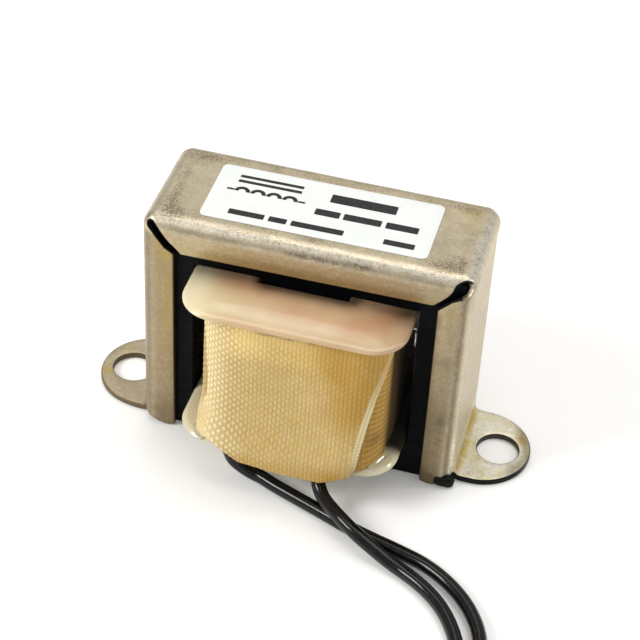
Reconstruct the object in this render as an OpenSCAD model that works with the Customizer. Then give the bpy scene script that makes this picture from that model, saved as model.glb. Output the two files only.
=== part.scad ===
// Open-frame filter choke. A stack of E and I laminations sits in a folded
// steel bracket with two screw feet. A moulded bobbin on the middle leg carries
// the winding, which is wrapped in cloth tape, and two insulated leads leave
// through the lower flange. Millimetres, +Z up, the feet stand on z = 0, the
// front of the coil faces -Y and the feet lie along X.

/* [Core] */
// Width of the middle leg of the E laminations
tongue_w = 9.5; // [8.5:0.1:10]
// Width of each winding window
window_w = 7.95; // [7.5:0.05:8.5]
// Height of each winding window, with the gap paper left out
window_h = 18.9; // [17:0.1:24]
// Thickness of the lamination stack
stack_t = 12.9; // [12.1:0.1:13.4]
// Thickness of the paper in the air gap
gap_t = 0.25; // [0.1:0.05:0.5]

/* [Bracket] */
// Thickness of the bracket's sheet
sheet_t = 0.75; // [0.7:0.05:1]
// Outer radius of the bracket's bends
bend_r = 1.6; // [1.5:0.05:1.8]
// Clearance between the stack and the inside of the bracket
fit_gap = 0.25; // [0.25:0.05:0.4]
// Width of the crimped edge of the lips, which bears on the stack
crimp_w = 0.5; // [0.3:0.1:0.8]
// Width of the lips down the sides, from the outside
lip_side = 3.85; // [3:0.05:4.4]
// Width of the lips along the top, from the outside
lip_top = 4.2; // [3:0.05:4.4]
// Width of the mitred slit between two lips
mitre_gap = 0.8; // [0.4:0.1:1.2]
// Radius of the relief opening at each upper corner
relief_r = 1.5; // [1.2:0.1:1.8]
// Distance between the two screw holes
hole_pitch = 44.5; // [44:0.1:46]
// Diameter of the screw holes
hole_d = 4.8; // [3.2:0.1:5.2]
// Radius of the rounded end of each foot
foot_r = 5.85; // [5.6:0.05:6]

/* [Bobbin] */
// Thickness of the bobbin's flanges
flange_t = 1.0; // [0.8:0.1:1.4]
// Depth of the flanges from front to back
flange_d = 28.2; // [27.6:0.1:28.4]
// Corner radius of the flanges
flange_r = 4.0; // [3:0.1:5]
// Thickness of the bobbin's tube wall
tube_t = 0.8; // [0.6:0.1:1]

/* [Coil] */
// Build of the winding on each side of the tube
wind_x = 3.7; // [3:0.1:3.8]
// Build of the winding in front of and behind the tube
wind_y = 3.7; // [3:0.1:3.8]
// Thickness of the insulation over the winding
wrap_t = 0.15; // [0.1:0.05:0.2]
// Thickness of the cloth tape with its overlap
tape_t = 0.55; // [0.4:0.05:0.6]

/* [Label] */
// Length of the label
label_w = 25.2; // [18:0.2:28]
// Width of the label
label_d = 9.8; // [7:0.1:10.4]
// Angle at which the label was stuck on
label_turn = 0.6; // [0:0.2:3]

/* [Leads] */
// Diameter of the bare tinned conductor
wire_d = 0.76; // [0.5:0.02:0.9]
// Length of each stripped end
strip_l = 6; // [4:0.5:7]

/* [Hidden] */
$fn = 64;
lead_d = 1.6;
leg_w = tongue_w / 2;
core_w = tongue_w + 2 * window_w + 2 * leg_w;
core_z = 0.1;
gap_z = core_z + leg_w;
win_z = gap_z + gap_t;
yoke_z = win_z + window_h;
core_top = yoke_z + leg_w;
box_w = core_w + 2 * fit_gap + 2 * sheet_t;
box_d = stack_t + 2 * fit_gap + 2 * sheet_t;
box_h = core_top + fit_gap + sheet_t;
in_r = bend_r - sheet_t;
foot_in = 0.6;
foot_x = max(26.0 - foot_r, box_w / 2 + foot_in + 0.3);
bob_z = win_z;
bob_top = yoke_z - 0.04;
flange_w = tongue_w + 2 * window_w - 0.4;
hole_x = tongue_w / 2 + 0.25;
hole_y = stack_t / 2 + 0.9;
tube_x = hole_x + tube_t;
tube_y = hole_y + tube_t;
coil_lo = bob_z + flange_t;
coil_hi = bob_top - flange_t;
wrap_x = tube_x + wind_x + wrap_t;
wrap_y = tube_y + wind_y + wrap_t;
tape_x = wrap_x + tape_t;
tape_y = wrap_y + 0.95 + tape_t;
skirt_y = flange_d / 2 + 0.15;
eps = 0.01;

// Route of the left lead: up inside the tape, through the flange, down to the
// surface and forward to the coil
route_a = [
    [-6.3, -12.9, 8.6], [-6.3, -12.9, 7.0], [-6.3, -12.9, 5.6], [-6.3, -12.9, 4.4],
    [-5.8, -12.8, 2.6], [-4.5, -12.65, 1.3], [-2.7, -12.9, 0.8], [-0.6, -13.8, 0.8],
    [2.5, -15.0, 0.8], [5.4, -16.1, 0.8], [8.7, -17.4, 0.8], [11.8, -18.4, 0.8],
    [15.1, -19.3, 0.8], [18.4, -20.4, 0.8], [21.4, -22.2, 0.8], [24.0, -24.7, 0.8],
    [25.9, -27.8, 0.8], [26.8, -31.0, 0.8], [27.0, -34.5, 0.8], [27.0, -39.0, 0.8]
];
// Route of the right lead, which passes over the left one
route_b = [
    [4.0, -13.1, 8.6], [4.0, -13.1, 7.2], [4.0, -13.1, 5.8], [4.05, -13.2, 4.8],
    [4.25, -13.6, 3.8], [4.7, -14.4, 2.95], [5.5, -15.5, 2.5], [6.8, -16.8, 2.42],
    [8.6, -18.3, 2.4], [10.5, -19.5, 2.05], [12.5, -20.4, 1.5], [14.6, -21.3, 1.0],
    [16.8, -22.3, 0.8], [19.2, -23.8, 0.8], [21.4, -25.8, 0.8], [23.2, -28.4, 0.8],
    [24.5, -31.4, 0.8], [25.2, -34.8, 0.8], [25.4, -37.4, 0.8],
    [25.4, -39.0, 0.8]
];
// Middle of the coil of spare lead, and the radius of each lane in it
coil_c = [16.5, -47.5];
lane_a = 10.5;
lane_b = 8.9;
level = 1.62;

// Flat rounded rectangle, centred
module rrect(hx, hy, r) {
    square([2 * hx, 2 * (hy - r)], center = true);
    square([2 * (hx - r), 2 * hy], center = true);
    for (sx = [-1, 1], sy = [-1, 1])
        translate([sx * (hx - r), sy * (hy - r)]) circle(r);
}

// Upright ring between two rounded rectangles
module ring(z0, z1, hx, hy, r, ix, iy, ir) {
    translate([0, 0, z0]) linear_extrude(z1 - z0) difference() {
        rrect(hx, hy, r);
        if (ir > 0) rrect(ix, iy, ir); else square([2 * ix, 2 * iy], center = true);
    }
}

// Front view of a folded box: square at the foot, rounded at the top
module arch(hw, h, r) {
    translate([-hw, -5]) square([2 * hw, h + 5 - r]);
    translate([-(hw - r), h - r - eps]) square([2 * (hw - r), r + eps]);
    for (s = [-1, 1]) translate([s * (hw - r), h - r]) circle(r);
}

// Body of a folded box with rounded edges, open downwards
module folded(hx, hy, h, r) {
    intersection() {
        translate([0, hy + 1, 0]) rotate([90, 0, 0]) linear_extrude(2 * hy + 2) arch(hx, h, r);
        translate([-hx - 1, 0, 0]) rotate([90, 0, 90]) linear_extrude(2 * hx + 2) arch(hy, h, r);
        translate([0, 0, -4]) linear_extrude(h + 5) rrect(hx, hy, r);
    }
}

// Bracket: one folded sheet, with mitred lips round the stack and two feet
module mounting_bracket() {
    hx = box_w / 2;
    hy = box_d / 2;
    lip_x = hx - lip_side;
    lip_z = box_h - lip_top;
    color([0.72, 0.67, 0.56]) difference() {
        union() {
            difference() {
                folded(hx, hy, box_h, bend_r);
                folded(hx - sheet_t, hy - sheet_t, box_h - sheet_t, in_r);
                // Open underside
                translate([-hx - 1, -hy - 1, -6]) cube([2 * hx + 2, 2 * hy + 2, 6 + core_z]);
                // Front and back openings between the lips
                translate([-lip_x, -hy - 1, -1]) cube([2 * lip_x, 2 * hy + 2, lip_z + 1]);
                // Slits and relief openings at the upper corners
                for (s = [-1, 1], f = [-1, 1]) {
                    translate([s * lip_x, f * hy, lip_z]) rotate([0, s * 45, 0])
                        translate([-mitre_gap / 2 + s * 0.2, -bend_r - 0.2, -0.4])
                        cube([mitre_gap, 2 * bend_r + 0.4, 5.2]);
                    translate([s * (hx - 0.5), f * (hy - 0.5), box_h - 0.5])
                        rotate([0, 54.7, atan2(f, s)]) sphere(relief_r);
                }
                // Room for the feet and the notches beside them
                for (s = [-1, 1])
                    translate([s * (hx - bend_r / 2), 0, 0])
                    cube([bend_r + 0.8, 2 * hy + 2, 2.8], center = true);
            }
            // Crimped edges of the lips, which hold the stack
            for (f = [-1, 1]) translate([0, f * (stack_t + fit_gap + eps) / 2, 0]) {
                translate([0, 0, lip_z + crimp_w / 2])
                    cube([2 * lip_x - 3, fit_gap + eps, crimp_w], center = true);
                for (s = [-1, 1])
                    translate([s * (lip_x + crimp_w / 2), 0, lip_z / 2 - 0.5])
                    cube([crimp_w, fit_gap + eps, lip_z - 3], center = true);
            }
            for (s = [-1, 1]) {
                // Lower end of each side, its bend and its foot
                translate([s > 0 ? hx - sheet_t : -hx, -foot_r, sheet_t + foot_in])
                    cube([sheet_t, 2 * foot_r, 0.4]);
                translate([s * (hx + foot_in), foot_r, sheet_t + foot_in]) rotate([90, 0, 0])
                    linear_extrude(2 * foot_r) intersection() {
                        difference() {
                            circle(foot_in + sheet_t);
                            circle(foot_in);
                        }
                        translate([s > 0 ? -3 : 0, -3]) square(3);
                    }
                linear_extrude(sheet_t) {
                    translate([s > 0 ? hx + foot_in : -foot_x, -foot_r])
                        square([foot_x - hx - foot_in, 2 * foot_r]);
                    translate([s * foot_x, 0]) difference() {
                        circle(foot_r);
                        translate([s > 0 ? -2 * foot_r : 0, -2 * foot_r])
                            square([2 * foot_r, 4 * foot_r]);
                    }
                }
            }
        }
        for (s = [-1, 1])
            translate([s * hole_pitch / 2, 0, -1]) cylinder(d = hole_d, h = sheet_t + 2);
    }
}

// Stack of E laminations, back upwards
module e_laminations() {
    color([0.07, 0.075, 0.085]) translate([0, stack_t / 2, 0]) rotate([90, 0, 0])
        linear_extrude(stack_t) difference() {
            translate([-core_w / 2, win_z]) square([core_w, core_top - win_z]);
            for (s = [-1, 1])
                translate([s * (tongue_w + window_w) / 2, win_z + window_h / 2])
                square([window_w, window_h], center = true);
        }
}

// Stack of I laminations across the ends of the legs
module i_laminations() {
    color([0.07, 0.075, 0.085])
        translate([-core_w / 2, -stack_t / 2, core_z]) cube([core_w, stack_t, leg_w]);
}

// Paper that sets the air gap
module gap_paper() {
    color([0.35, 0.27, 0.2])
        translate([-core_w / 2, -stack_t / 2, gap_z]) cube([core_w, stack_t, gap_t]);
}

// Moulded bobbin: two flanges on a square tube, with two lead slots
module bobbin() {
    color([0.93, 0.89, 0.78]) difference() {
        union() {
            for (z = [bob_z, bob_top - flange_t])
                translate([0, 0, z]) linear_extrude(flange_t)
                rrect(flange_w / 2, flange_d / 2, flange_r);
            translate([-tube_x, -tube_y, bob_z]) cube([2 * tube_x, 2 * tube_y, bob_top - bob_z]);
        }
        translate([-hole_x, -hole_y, bob_z - 1])
            cube([2 * hole_x, 2 * hole_y, bob_top - bob_z + 2]);
        for (p = [route_a[2], route_b[2]])
            translate([p[0] - 0.95, -flange_d / 2 - 1, bob_z - 1])
            cube([1.9, flange_d / 2 + 1 + p[1] + 0.95, flange_t + 2]);
    }
}

// Copper winding, one solid of all its turns
module winding() {
    color([0.72, 0.42, 0.22])
        ring(coil_lo, coil_hi, tube_x + wind_x, tube_y + wind_y, 2.8, tube_x, tube_y, 0);
}

// Insulation over the winding
module inner_wrap() {
    color([0.85, 0.72, 0.42])
        ring(coil_lo + 0.1, coil_hi - 0.1, wrap_x, wrap_y, 2.95,
            tube_x + wind_x, tube_y + wind_y, 2.8);
}

// Cloth tape: a band round the coil that swells over the leads at its lower
// edge and hangs over the front and back of the lower flange
module cloth_tape() {
    color([0.9, 0.78, 0.5]) {
        ring(12.5, coil_hi, tape_x, tape_y, 4.2, wrap_x, tape_y - tape_t, 3.4);
        ring(12.0, 12.5 + eps, tape_x, skirt_y + tape_t, 4.6, wrap_x, tape_y - tape_t, 3.4);
        ring(coil_lo, 12.0 + eps, tape_x, skirt_y + tape_t, 4.6, wrap_x, skirt_y, 4.0);
        for (s = [-1, 1])
            translate([-5.9, s > 0 ? skirt_y : -skirt_y - tape_t, 4.5])
            cube([12.4, tape_t, 2.2]);
    }
}

// Soldered joint between a lead's conductor and the winding, under the tape
module splice(p) {
    color([0.75, 0.74, 0.72]) translate(p) cylinder(d = wire_d, h = 3.2);
}
module splice_a() { splice(route_a[0]); }
module splice_b() { splice(route_b[0]); }

// Paper label on top of the bracket
module label() {
    color([0.95, 0.95, 0.94]) translate([-0.05, -0.15, box_h]) rotate([0, 0, label_turn])
        linear_extrude(0.1) rrect(label_w / 2, label_d / 2, 0.7);
}

// Tube swept along a route: one ring of eight points at each route point
function unit(v) = v / norm(v);
function tangent(q, i) = unit(q[min(i + 1, len(q) - 1)] - q[max(i - 1, 0)]);
function side(t) = unit(cross(t, [1, 1, 0.3]));
function hoop(q, i, r, n) = let (t = tangent(q, i), u = side(t), v = cross(t, u))
    [for (k = [0 : n - 1]) q[i] + r * cos(360 * k / n) * u + r * sin(360 * k / n) * v];
module tube(q, d) {
    n = 8;
    m = len(q);
    pts = [for (i = [0 : m - 1]) each hoop(q, i, d / 2, n)];
    walls = [for (i = [0 : m - 2], k = [0 : n - 1])
        [i * n + k, (i + 1) * n + k, (i + 1) * n + (k + 1) % n, i * n + (k + 1) % n]];
    ends = [[for (k = [0 : n - 1]) k], [for (k = [n - 1 : -1 : 0]) (m - 1) * n + k]];
    polyhedron(points = pts, faces = concat(walls, ends), convexity = 6);
}

// Insulated leads, from inside the tape to the coil of spare length
module lead_a() { color([0.06, 0.06, 0.065]) tube(route_a, lead_d); }
module lead_b() { color([0.06, 0.06, 0.065]) tube(route_b, lead_d); }

// Outer shape of the spare length of both leads, wound side by side in two
// layers, with the end of the inner lead in a third
module lead_coil() {
    h = lead_d / 2;
    color([0.06, 0.06, 0.065]) translate([coil_c[0], coil_c[1], 0]) difference() {
        union() {
            rotate_extrude() translate([lane_b - h, 0]) square([lane_a - lane_b + lead_d, 2 * level]);
            // Where both leads climb from one layer to the next
            rotate([0, 0, 0.2]) rotate_extrude(angle = 137.8)
                translate([lane_b - h + 0.02, 2 * level - 0.2])
                square([lane_a - lane_b + lead_d - 0.04, level + 0.2]);
            // End of the inner lead
            rotate([0, 0, 181]) rotate_extrude(angle = 178)
                translate([lane_b - h + 0.02, 2 * level - 0.2]) square([lead_d, level + 0.2]);
            // Where the two leads run in
            translate([lane_b - h, 0.5, 0]) cube([lane_a - lane_b + lead_d - 0.05, 8, lead_d]);
        }
        // Where the tie passes underneath
        translate([-1.8, -lane_a - 2.5, -1]) cube([3.6, 6, 1.35]);
    }
}

// Stripped and tinned end of the outer lead
module lead_tip_a() {
    a = strip_l / lane_a * 180 / PI;
    color([0.78, 0.78, 0.76]) translate([coil_c[0], coil_c[1], 2 * level + lead_d / 2])
        rotate([0, 0, -a]) rotate_extrude(angle = a) translate([lane_a, 0]) circle(d = wire_d);
}

// Stripped and tinned end of the inner lead
module lead_tip_b() {
    a = strip_l / lane_b * 180 / PI;
    color([0.78, 0.78, 0.76]) translate([coil_c[0], coil_c[1], 2 * level + lead_d / 2])
        rotate([0, 0, 181 - a]) rotate_extrude(angle = a) translate([lane_b, 0]) circle(d = wire_d);
}

// Tie round the coil of spare lead
module coil_tie() {
    r0 = lane_b - lead_d / 2;
    r1 = lane_a + lead_d / 2;
    color([0.9, 0.9, 0.86]) translate([coil_c[0], coil_c[1], 0]) {
        rotate([0, 0, 263]) rotate_extrude(angle = 14) difference() {
            translate([r0 - 0.4, 0]) square([r1 - r0 + 0.8, 3 * level + 0.75]);
            translate([r0, 0.35]) square([r1 - r0, 3 * level]);
        }
        translate([-1.5, -r1 - 2.2, 1.4]) cube([3, 1.9, 2.6]);
    }
}

mounting_bracket();
e_laminations();
i_laminations();
gap_paper();
bobbin();
winding();
inner_wrap();
cloth_tape();
splice_a();
splice_b();
label();
lead_a();
lead_b();
lead_coil();
lead_tip_a();
lead_tip_b();
coil_tie();
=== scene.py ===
import math

import bpy
import numpy as np
from mathutils import Matrix, Vector, noise
from mathutils.geometry import delaunay_2d_cdt


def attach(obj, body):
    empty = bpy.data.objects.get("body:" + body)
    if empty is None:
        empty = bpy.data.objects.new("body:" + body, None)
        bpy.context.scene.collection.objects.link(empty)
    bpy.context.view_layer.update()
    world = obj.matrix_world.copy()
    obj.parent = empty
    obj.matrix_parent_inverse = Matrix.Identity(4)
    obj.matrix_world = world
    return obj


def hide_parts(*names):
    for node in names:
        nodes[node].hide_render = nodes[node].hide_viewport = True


# Open-frame filter choke. Everything below is worked out in millimetres and
# written to the meshes in metres.
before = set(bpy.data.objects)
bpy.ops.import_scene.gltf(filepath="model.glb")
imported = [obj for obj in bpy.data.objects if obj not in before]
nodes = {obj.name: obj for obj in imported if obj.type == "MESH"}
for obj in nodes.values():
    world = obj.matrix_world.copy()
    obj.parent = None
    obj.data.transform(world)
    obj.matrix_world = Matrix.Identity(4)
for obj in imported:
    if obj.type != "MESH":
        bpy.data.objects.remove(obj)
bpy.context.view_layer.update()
MM = 0.001
scene = bpy.context.scene

# ------------------------------------------------------------------ camera
a, e, r = (math.radians(x) for x in (13.45, 40.151, 3.374))
back = Vector((math.sin(a) * math.cos(e), -math.cos(a) * math.cos(e), math.sin(e)))
right = Vector((math.cos(a), math.sin(a), 0))
up = Vector((-math.sin(a) * math.sin(e), math.cos(a) * math.sin(e), math.cos(e)))
right2 = right * math.cos(r) + up * math.sin(r)
up2 = up * math.cos(r) - right * math.sin(r)
cam_data = bpy.data.cameras.new("camera")
cam_data.lens = 112.44
cam_data.sensor_width = 36.0
cam_data.clip_start = 0.005
cam_data.clip_end = 20.0
cam = bpy.data.objects.new("camera", cam_data)
scene.collection.objects.link(cam)
m = Matrix((right2, up2, back)).transposed().to_4x4()
m.translation = (Vector((5.133, -20.293, 31.873)) + back * 198.712) * MM
cam.matrix_world = m
scene.camera = cam
scene.view_settings.view_transform = "Standard"
scene.view_settings.look = "None"


# ------------------------------------------------------------------ small helpers
def smooth(x, lo, hi):
    t = np.clip((np.asarray(x, float) - lo) / (hi - lo), 0, 1)
    return t * t * (3 - 2 * t)


def blob(p, q, p0, q0, rp, rq):
    return np.exp(-(((p - p0) / rp) ** 2) - ((q - q0) / rq) ** 2)


def fbm(pts, scale, seed, octaves=3):
    """Smooth noise at some points, about -1 to 1."""
    off = Vector((seed * 17.3, seed * 5.7, seed * 11.1))
    return np.array([noise.fractal(Vector(p) * scale + off, 1.0, 2.0, octaves) for p in pts])


def piece(name, verts, faces, material, attrs=None, replaces=(), index=None, flat=False):
    """A mesh piece of the object, from millimetres, that rides on the one body."""
    me = bpy.data.meshes.new(name)
    me.from_pydata((np.asarray(verts, float) * MM).tolist(), [], faces)
    me.update()
    for mat in material if isinstance(material, list) else [material]:
        me.materials.append(mat)
    if index is not None:
        me.polygons.foreach_set("material_index", np.asarray(index, np.int32))
    if not flat:
        me.shade_smooth()
    for key, values in (attrs or {}).items():
        at = me.attributes.new(key, "FLOAT", "POINT")
        at.data.foreach_set("value", np.asarray(values, np.float32))
    ob = bpy.data.objects.new(name, me)
    scene.collection.objects.link(ob)
    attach(ob, "root")
    if replaces:
        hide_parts(*replaces)
    return ob


# ------------------------------------------------------------------ materials
class Graph:
    """Nodes of one material. Vectors are the object's own coordinates in millimetres."""

    def __init__(self, name, **base):
        self.m = bpy.data.materials.new(name)
        self.m.use_nodes = True
        self.n = self.m.node_tree.nodes
        self.l = self.m.node_tree.links
        self.b = self.n["Principled BSDF"]
        for k, v in base.items():
            self.b.inputs[k.replace("_", " ")].default_value = v
        tc = self.n.new("ShaderNodeTexCoord")
        mp = self.n.new("ShaderNodeMapping")
        mp.inputs["Scale"].default_value = (1000, 1000, 1000)
        self.l.new(tc.outputs["Object"], mp.inputs["Vector"])
        self.mm = mp.outputs["Vector"]

    def put(self, value, socket):
        if isinstance(value, bpy.types.NodeSocket):
            self.l.new(value, socket)
        else:
            socket.default_value = value

    def stretch(self, scale):
        mp = self.n.new("ShaderNodeMapping")
        mp.inputs["Scale"].default_value = scale
        self.l.new(self.mm, mp.inputs["Vector"])
        return mp.outputs["Vector"]

    def noise(self, scale, detail=3.0, rough=0.55, vec=None, warp=0.0):
        x = self.n.new("ShaderNodeTexNoise")
        x.inputs["Scale"].default_value = scale
        x.inputs["Detail"].default_value = detail
        x.inputs["Roughness"].default_value = rough
        x.inputs["Distortion"].default_value = warp
        self.l.new(vec or self.mm, x.inputs["Vector"])
        return x.outputs["Fac"]

    def voronoi(self, scale, vec=None, out="Distance"):
        x = self.n.new("ShaderNodeTexVoronoi")
        x.inputs["Scale"].default_value = scale
        self.l.new(vec or self.mm, x.inputs["Vector"])
        return x.outputs[out]

    def attr(self, name):
        x = self.n.new("ShaderNodeAttribute")
        x.attribute_name = name
        return x.outputs["Fac"]

    def axis(self, k):
        x = self.n.new("ShaderNodeSeparateXYZ")
        self.l.new(self.mm, x.inputs["Vector"])
        return x.outputs[k]

    def math(self, op, p, q=0.0, clamp=False):
        x = self.n.new("ShaderNodeMath")
        x.operation = op
        x.use_clamp = clamp
        self.put(p, x.inputs[0])
        self.put(q, x.inputs[1])
        return x.outputs[0]

    def range(self, value, lo, hi, to_lo=0.0, to_hi=1.0):
        x = self.n.new("ShaderNodeMapRange")
        x.interpolation_type = "SMOOTHSTEP"
        self.put(value, x.inputs["Value"])
        for k, v in (("From Min", lo), ("From Max", hi), ("To Min", to_lo), ("To Max", to_hi)):
            x.inputs[k].default_value = v
        return x.outputs["Result"]

    def mix(self, fac, p, q, how="MIX"):
        x = self.n.new("ShaderNodeMix")
        x.data_type = "RGBA"
        x.blend_type = how
        self.put(fac, x.inputs[0])
        for v, s in ((p, x.inputs[6]), (q, x.inputs[7])):
            self.put(v if isinstance(v, bpy.types.NodeSocket) else (*v, 1.0), s)
        return x.outputs[2]

    def color(self, value):
        self.l.new(value, self.b.inputs["Base Color"])

    def set(self, socket, value):
        self.put(value, self.b.inputs[socket])

    def bump(self, height, strength, distance_mm, after=None):
        x = self.n.new("ShaderNodeBump")
        x.inputs["Strength"].default_value = strength
        x.inputs["Distance"].default_value = distance_mm * MM
        self.l.new(height, x.inputs["Height"])
        if after is not None:
            self.l.new(after, x.inputs["Normal"])
        self.l.new(x.outputs["Normal"], self.b.inputs["Normal"])
        return x.outputs["Normal"]


def bracket_face():
    g = Graph("plated_steel", Metallic=0.85)
    flat = g.n.new("ShaderNodeCombineXYZ")
    g.l.new(g.attr("along"), flat.inputs[0])
    g.l.new(g.attr("cross"), flat.inputs[1])
    roll = g.n.new("ShaderNodeMapping")
    roll.inputs["Scale"].default_value = (0.12, 2.6, 1.0)
    g.l.new(flat.outputs[0], roll.inputs["Vector"])
    roll = roll.outputs["Vector"]
    tone = g.noise(0.35, 4, 0.6)
    fine = g.noise(2.2, 4, 0.6)
    grain = g.noise(7.0, 2, 0.6)
    c = g.mix(g.range(tone, 0.35, 0.65), (0.515, 0.435, 0.295), (0.60, 0.515, 0.36))
    c = g.mix(g.range(fine, 0.4, 0.7, 0, 0.22), c, (0.50, 0.435, 0.33))
    # painted reflection: the lips are darker and browner, the upright sides paler
    c = g.mix(g.attr("lip"), c, (0.47, 0.368, 0.218))
    c = g.mix(g.attr("side"), c, (0.59, 0.495, 0.34))
    patch = g.noise(0.55, 3, 0.55, warp=0.5)
    plated = g.mix(g.range(patch, 0.50, 0.66), (0.755, 0.715, 0.53), (0.86, 0.84, 0.73))
    plated = g.mix(g.range(patch, 0.46, 0.32, 0, 0.8), plated, (0.66, 0.60, 0.36))
    plated = g.mix(g.range(g.noise(0.9, 3, 0.55, warp=0.6), 0.50, 0.62, 0, 0.7), plated, (0.79, 0.755, 0.735))
    c = g.mix(g.attr("foot"), c, plated)
    # rolling marks along the strip, and fine grain
    streak = g.noise(1.0, 4, 0.65, vec=roll)
    c = g.mix(g.range(streak, 0.52, 0.75, 0, 0.24), c, (0.36, 0.30, 0.21))
    c = g.mix(g.range(streak, 0.46, 0.28, 0, 0.16), c, (0.85, 0.79, 0.66))
    mottle = g.noise(2.9, 3, 0.62, warp=0.4)
    c = g.mix(g.range(mottle, 0.50, 0.70, 0, 0.34), c, (0.335, 0.285, 0.195))
    c = g.mix(g.range(mottle, 0.48, 0.30, 0, 0.26), c, (0.80, 0.735, 0.59))
    c = g.mix(g.range(grain, 0.52, 0.72, 0, 0.30), c, (0.30, 0.25, 0.17))
    # painted highlight on the bends of the sheet, where the roughness is also a little lower
    painted_highlight = g.math("MULTIPLY", g.attr("painted_highlight"), g.range(g.noise(2.6, 4, 0.65), 0.36, 0.56), clamp=True)
    c = g.mix(painted_highlight, c, (0.85, 0.81, 0.71))
    # varnish stains
    stain = g.math("MULTIPLY", g.attr("stain"), g.range(g.noise(0.8, 4, 0.6, warp=0.6), 0.25, 0.6), clamp=True)
    c = g.mix(stain, c, (0.60, 0.44, 0.10))
    # pits and speckle
    spk = g.math("ADD", g.noise(6.5, 3, 0.7), g.math("MULTIPLY", g.attr("speck"), 0.21))
    spk = g.range(spk, 0.64, 0.80)
    c = g.mix(g.math("MULTIPLY", spk, 0.72), c, (0.13, 0.095, 0.065))
    # scuff marks, and painted shade in bands by the bends and round the corner slits
    dark = g.math("MULTIPLY", g.attr("dark"), g.range(g.noise(3.2, 4, 0.65), 0.30, 0.62), clamp=True)
    c = g.mix(g.math("MULTIPLY", dark, 0.8), c, (0.10, 0.072, 0.055))
    # painted shade, multiplied in
    c = g.mix(g.attr("shade"), c, (0.30, 0.265, 0.21), "MULTIPLY")
    c = g.mix(g.math("MULTIPLY", g.attr("rim"), 0.85), c, (0.125, 0.085, 0.048))
    # black: painted shade on the cut edges in the corner slits, and the dark cut edges of the feet and the right notch
    c = g.mix(g.attr("black"), c, (0.008, 0.008, 0.009))
    g.color(c)
    g.set("Metallic", g.math("SUBTRACT", 0.85, g.math("MULTIPLY", g.attr("black"), 0.85), clamp=True))
    g.set("Specular IOR Level", g.math("SUBTRACT", 0.5, g.math("MULTIPLY", g.attr("black"), 0.40), clamp=True))
    rough = g.range(g.noise(0.9, 4, 0.6), 0.3, 0.7, 0.36, 0.48)
    rough = g.math("ADD", rough, g.math("MULTIPLY", spk, 0.2))
    rough = g.math("SUBTRACT", rough, g.math("MULTIPLY", painted_highlight, 0.10), clamp=True)
    g.set("Roughness", rough)
    h = g.math("ADD", g.math("MULTIPLY", g.noise(5.0, 4, 0.65), 0.6), g.math("MULTIPLY", mottle, 0.6))
    h = g.math("SUBTRACT", h, g.math("MULTIPLY", spk, 0.6))
    h = g.math("ADD", h, g.math("MULTIPLY", streak, 0.4))
    g.bump(h, 0.30, 0.03)
    return g.m


def black_varnish():
    g = Graph("black_varnish", IOR=1.45, Specular_IOR_Level=0.07)
    n = g.noise(0.7, 4, 0.6)
    c = g.mix(g.range(n, 0.35, 0.7), (0.0020, 0.0025, 0.0036), (0.0038, 0.0044, 0.0058))
    c = g.mix(g.range(g.noise(3.0, 3, 0.6), 0.66, 0.78, 0, 0.5), c, (0.014, 0.011, 0.008))
    g.color(c)
    g.set("Roughness", g.range(g.noise(1.3, 4, 0.6), 0.3, 0.7, 0.34, 0.55))
    g.bump(g.noise(1.6, 4, 0.5), 0.3, 0.05)
    return g.m


def varnish_bead():
    g = Graph("varnish_bead", IOR=1.45, Specular_IOR_Level=0.16)
    g.color(g.mix(g.range(g.noise(1.6, 4, 0.6), 0.35, 0.7), (0.0020, 0.0021, 0.0024), (0.0050, 0.0046, 0.0042)))
    g.set("Roughness", g.range(g.noise(1.8, 3, 0.6), 0.3, 0.7, 0.16, 0.30))
    g.bump(g.noise(2.0, 4, 0.5), 0.2, 0.05)
    return g.m


def nylon():
    g = Graph("ivory_nylon", IOR=1.5, Specular_IOR_Level=0.6, Subsurface_Weight=0.35, Subsurface_Scale=0.0012)
    g.b.inputs["Subsurface Radius"].default_value = (1.0, 0.62, 0.36)
    n = g.noise(0.35, 3, 0.5)
    c = g.mix(g.range(n, 0.35, 0.7), (0.66, 0.57, 0.345), (0.71, 0.622, 0.395))
    c = g.mix(g.attr("pink"), c, (0.485, 0.258, 0.142))
    c = g.mix(g.attr("grey"), c, (0.79, 0.755, 0.55))
    # brown: the stained line under the upper flange's front edge, and painted shade near the stack and inside the
    # window
    c = g.mix(g.attr("brown"), c, g.mix(g.range(g.attr("brown"), 0.6, 0.95), (0.07, 0.038, 0.024), (0.006, 0.005, 0.005)))
    g.color(c)
    g.set("Specular IOR Level", g.range(g.attr("brown"), 0.45, 0.95, 0.6, 0.02))
    g.set("Roughness", g.range(g.noise(1.1, 3, 0.6), 0.3, 0.7, 0.10, 0.20))
    g.bump(g.noise(0.7, 3, 0.5), 0.25, 0.05)
    return g.m


def glaze():
    g = Graph("clear_varnish", IOR=1.5, Specular_IOR_Level=0.7, Subsurface_Weight=0.3, Subsurface_Scale=0.0008)
    c = g.mix(g.range(g.noise(0.6, 3, 0.5), 0.35, 0.7), (0.54, 0.47, 0.28), (0.62, 0.56, 0.36))
    c = g.mix(g.range(g.attr("up"), 0.12, 0.6), c, (0.42, 0.27, 0.075))
    g.color(c)
    g.set("Roughness", g.range(g.noise(1.5, 3, 0.6), 0.3, 0.7, 0.06, 0.11))
    g.bump(g.noise(0.9, 3, 0.5), 0.08, 0.03)
    return g.m


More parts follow.
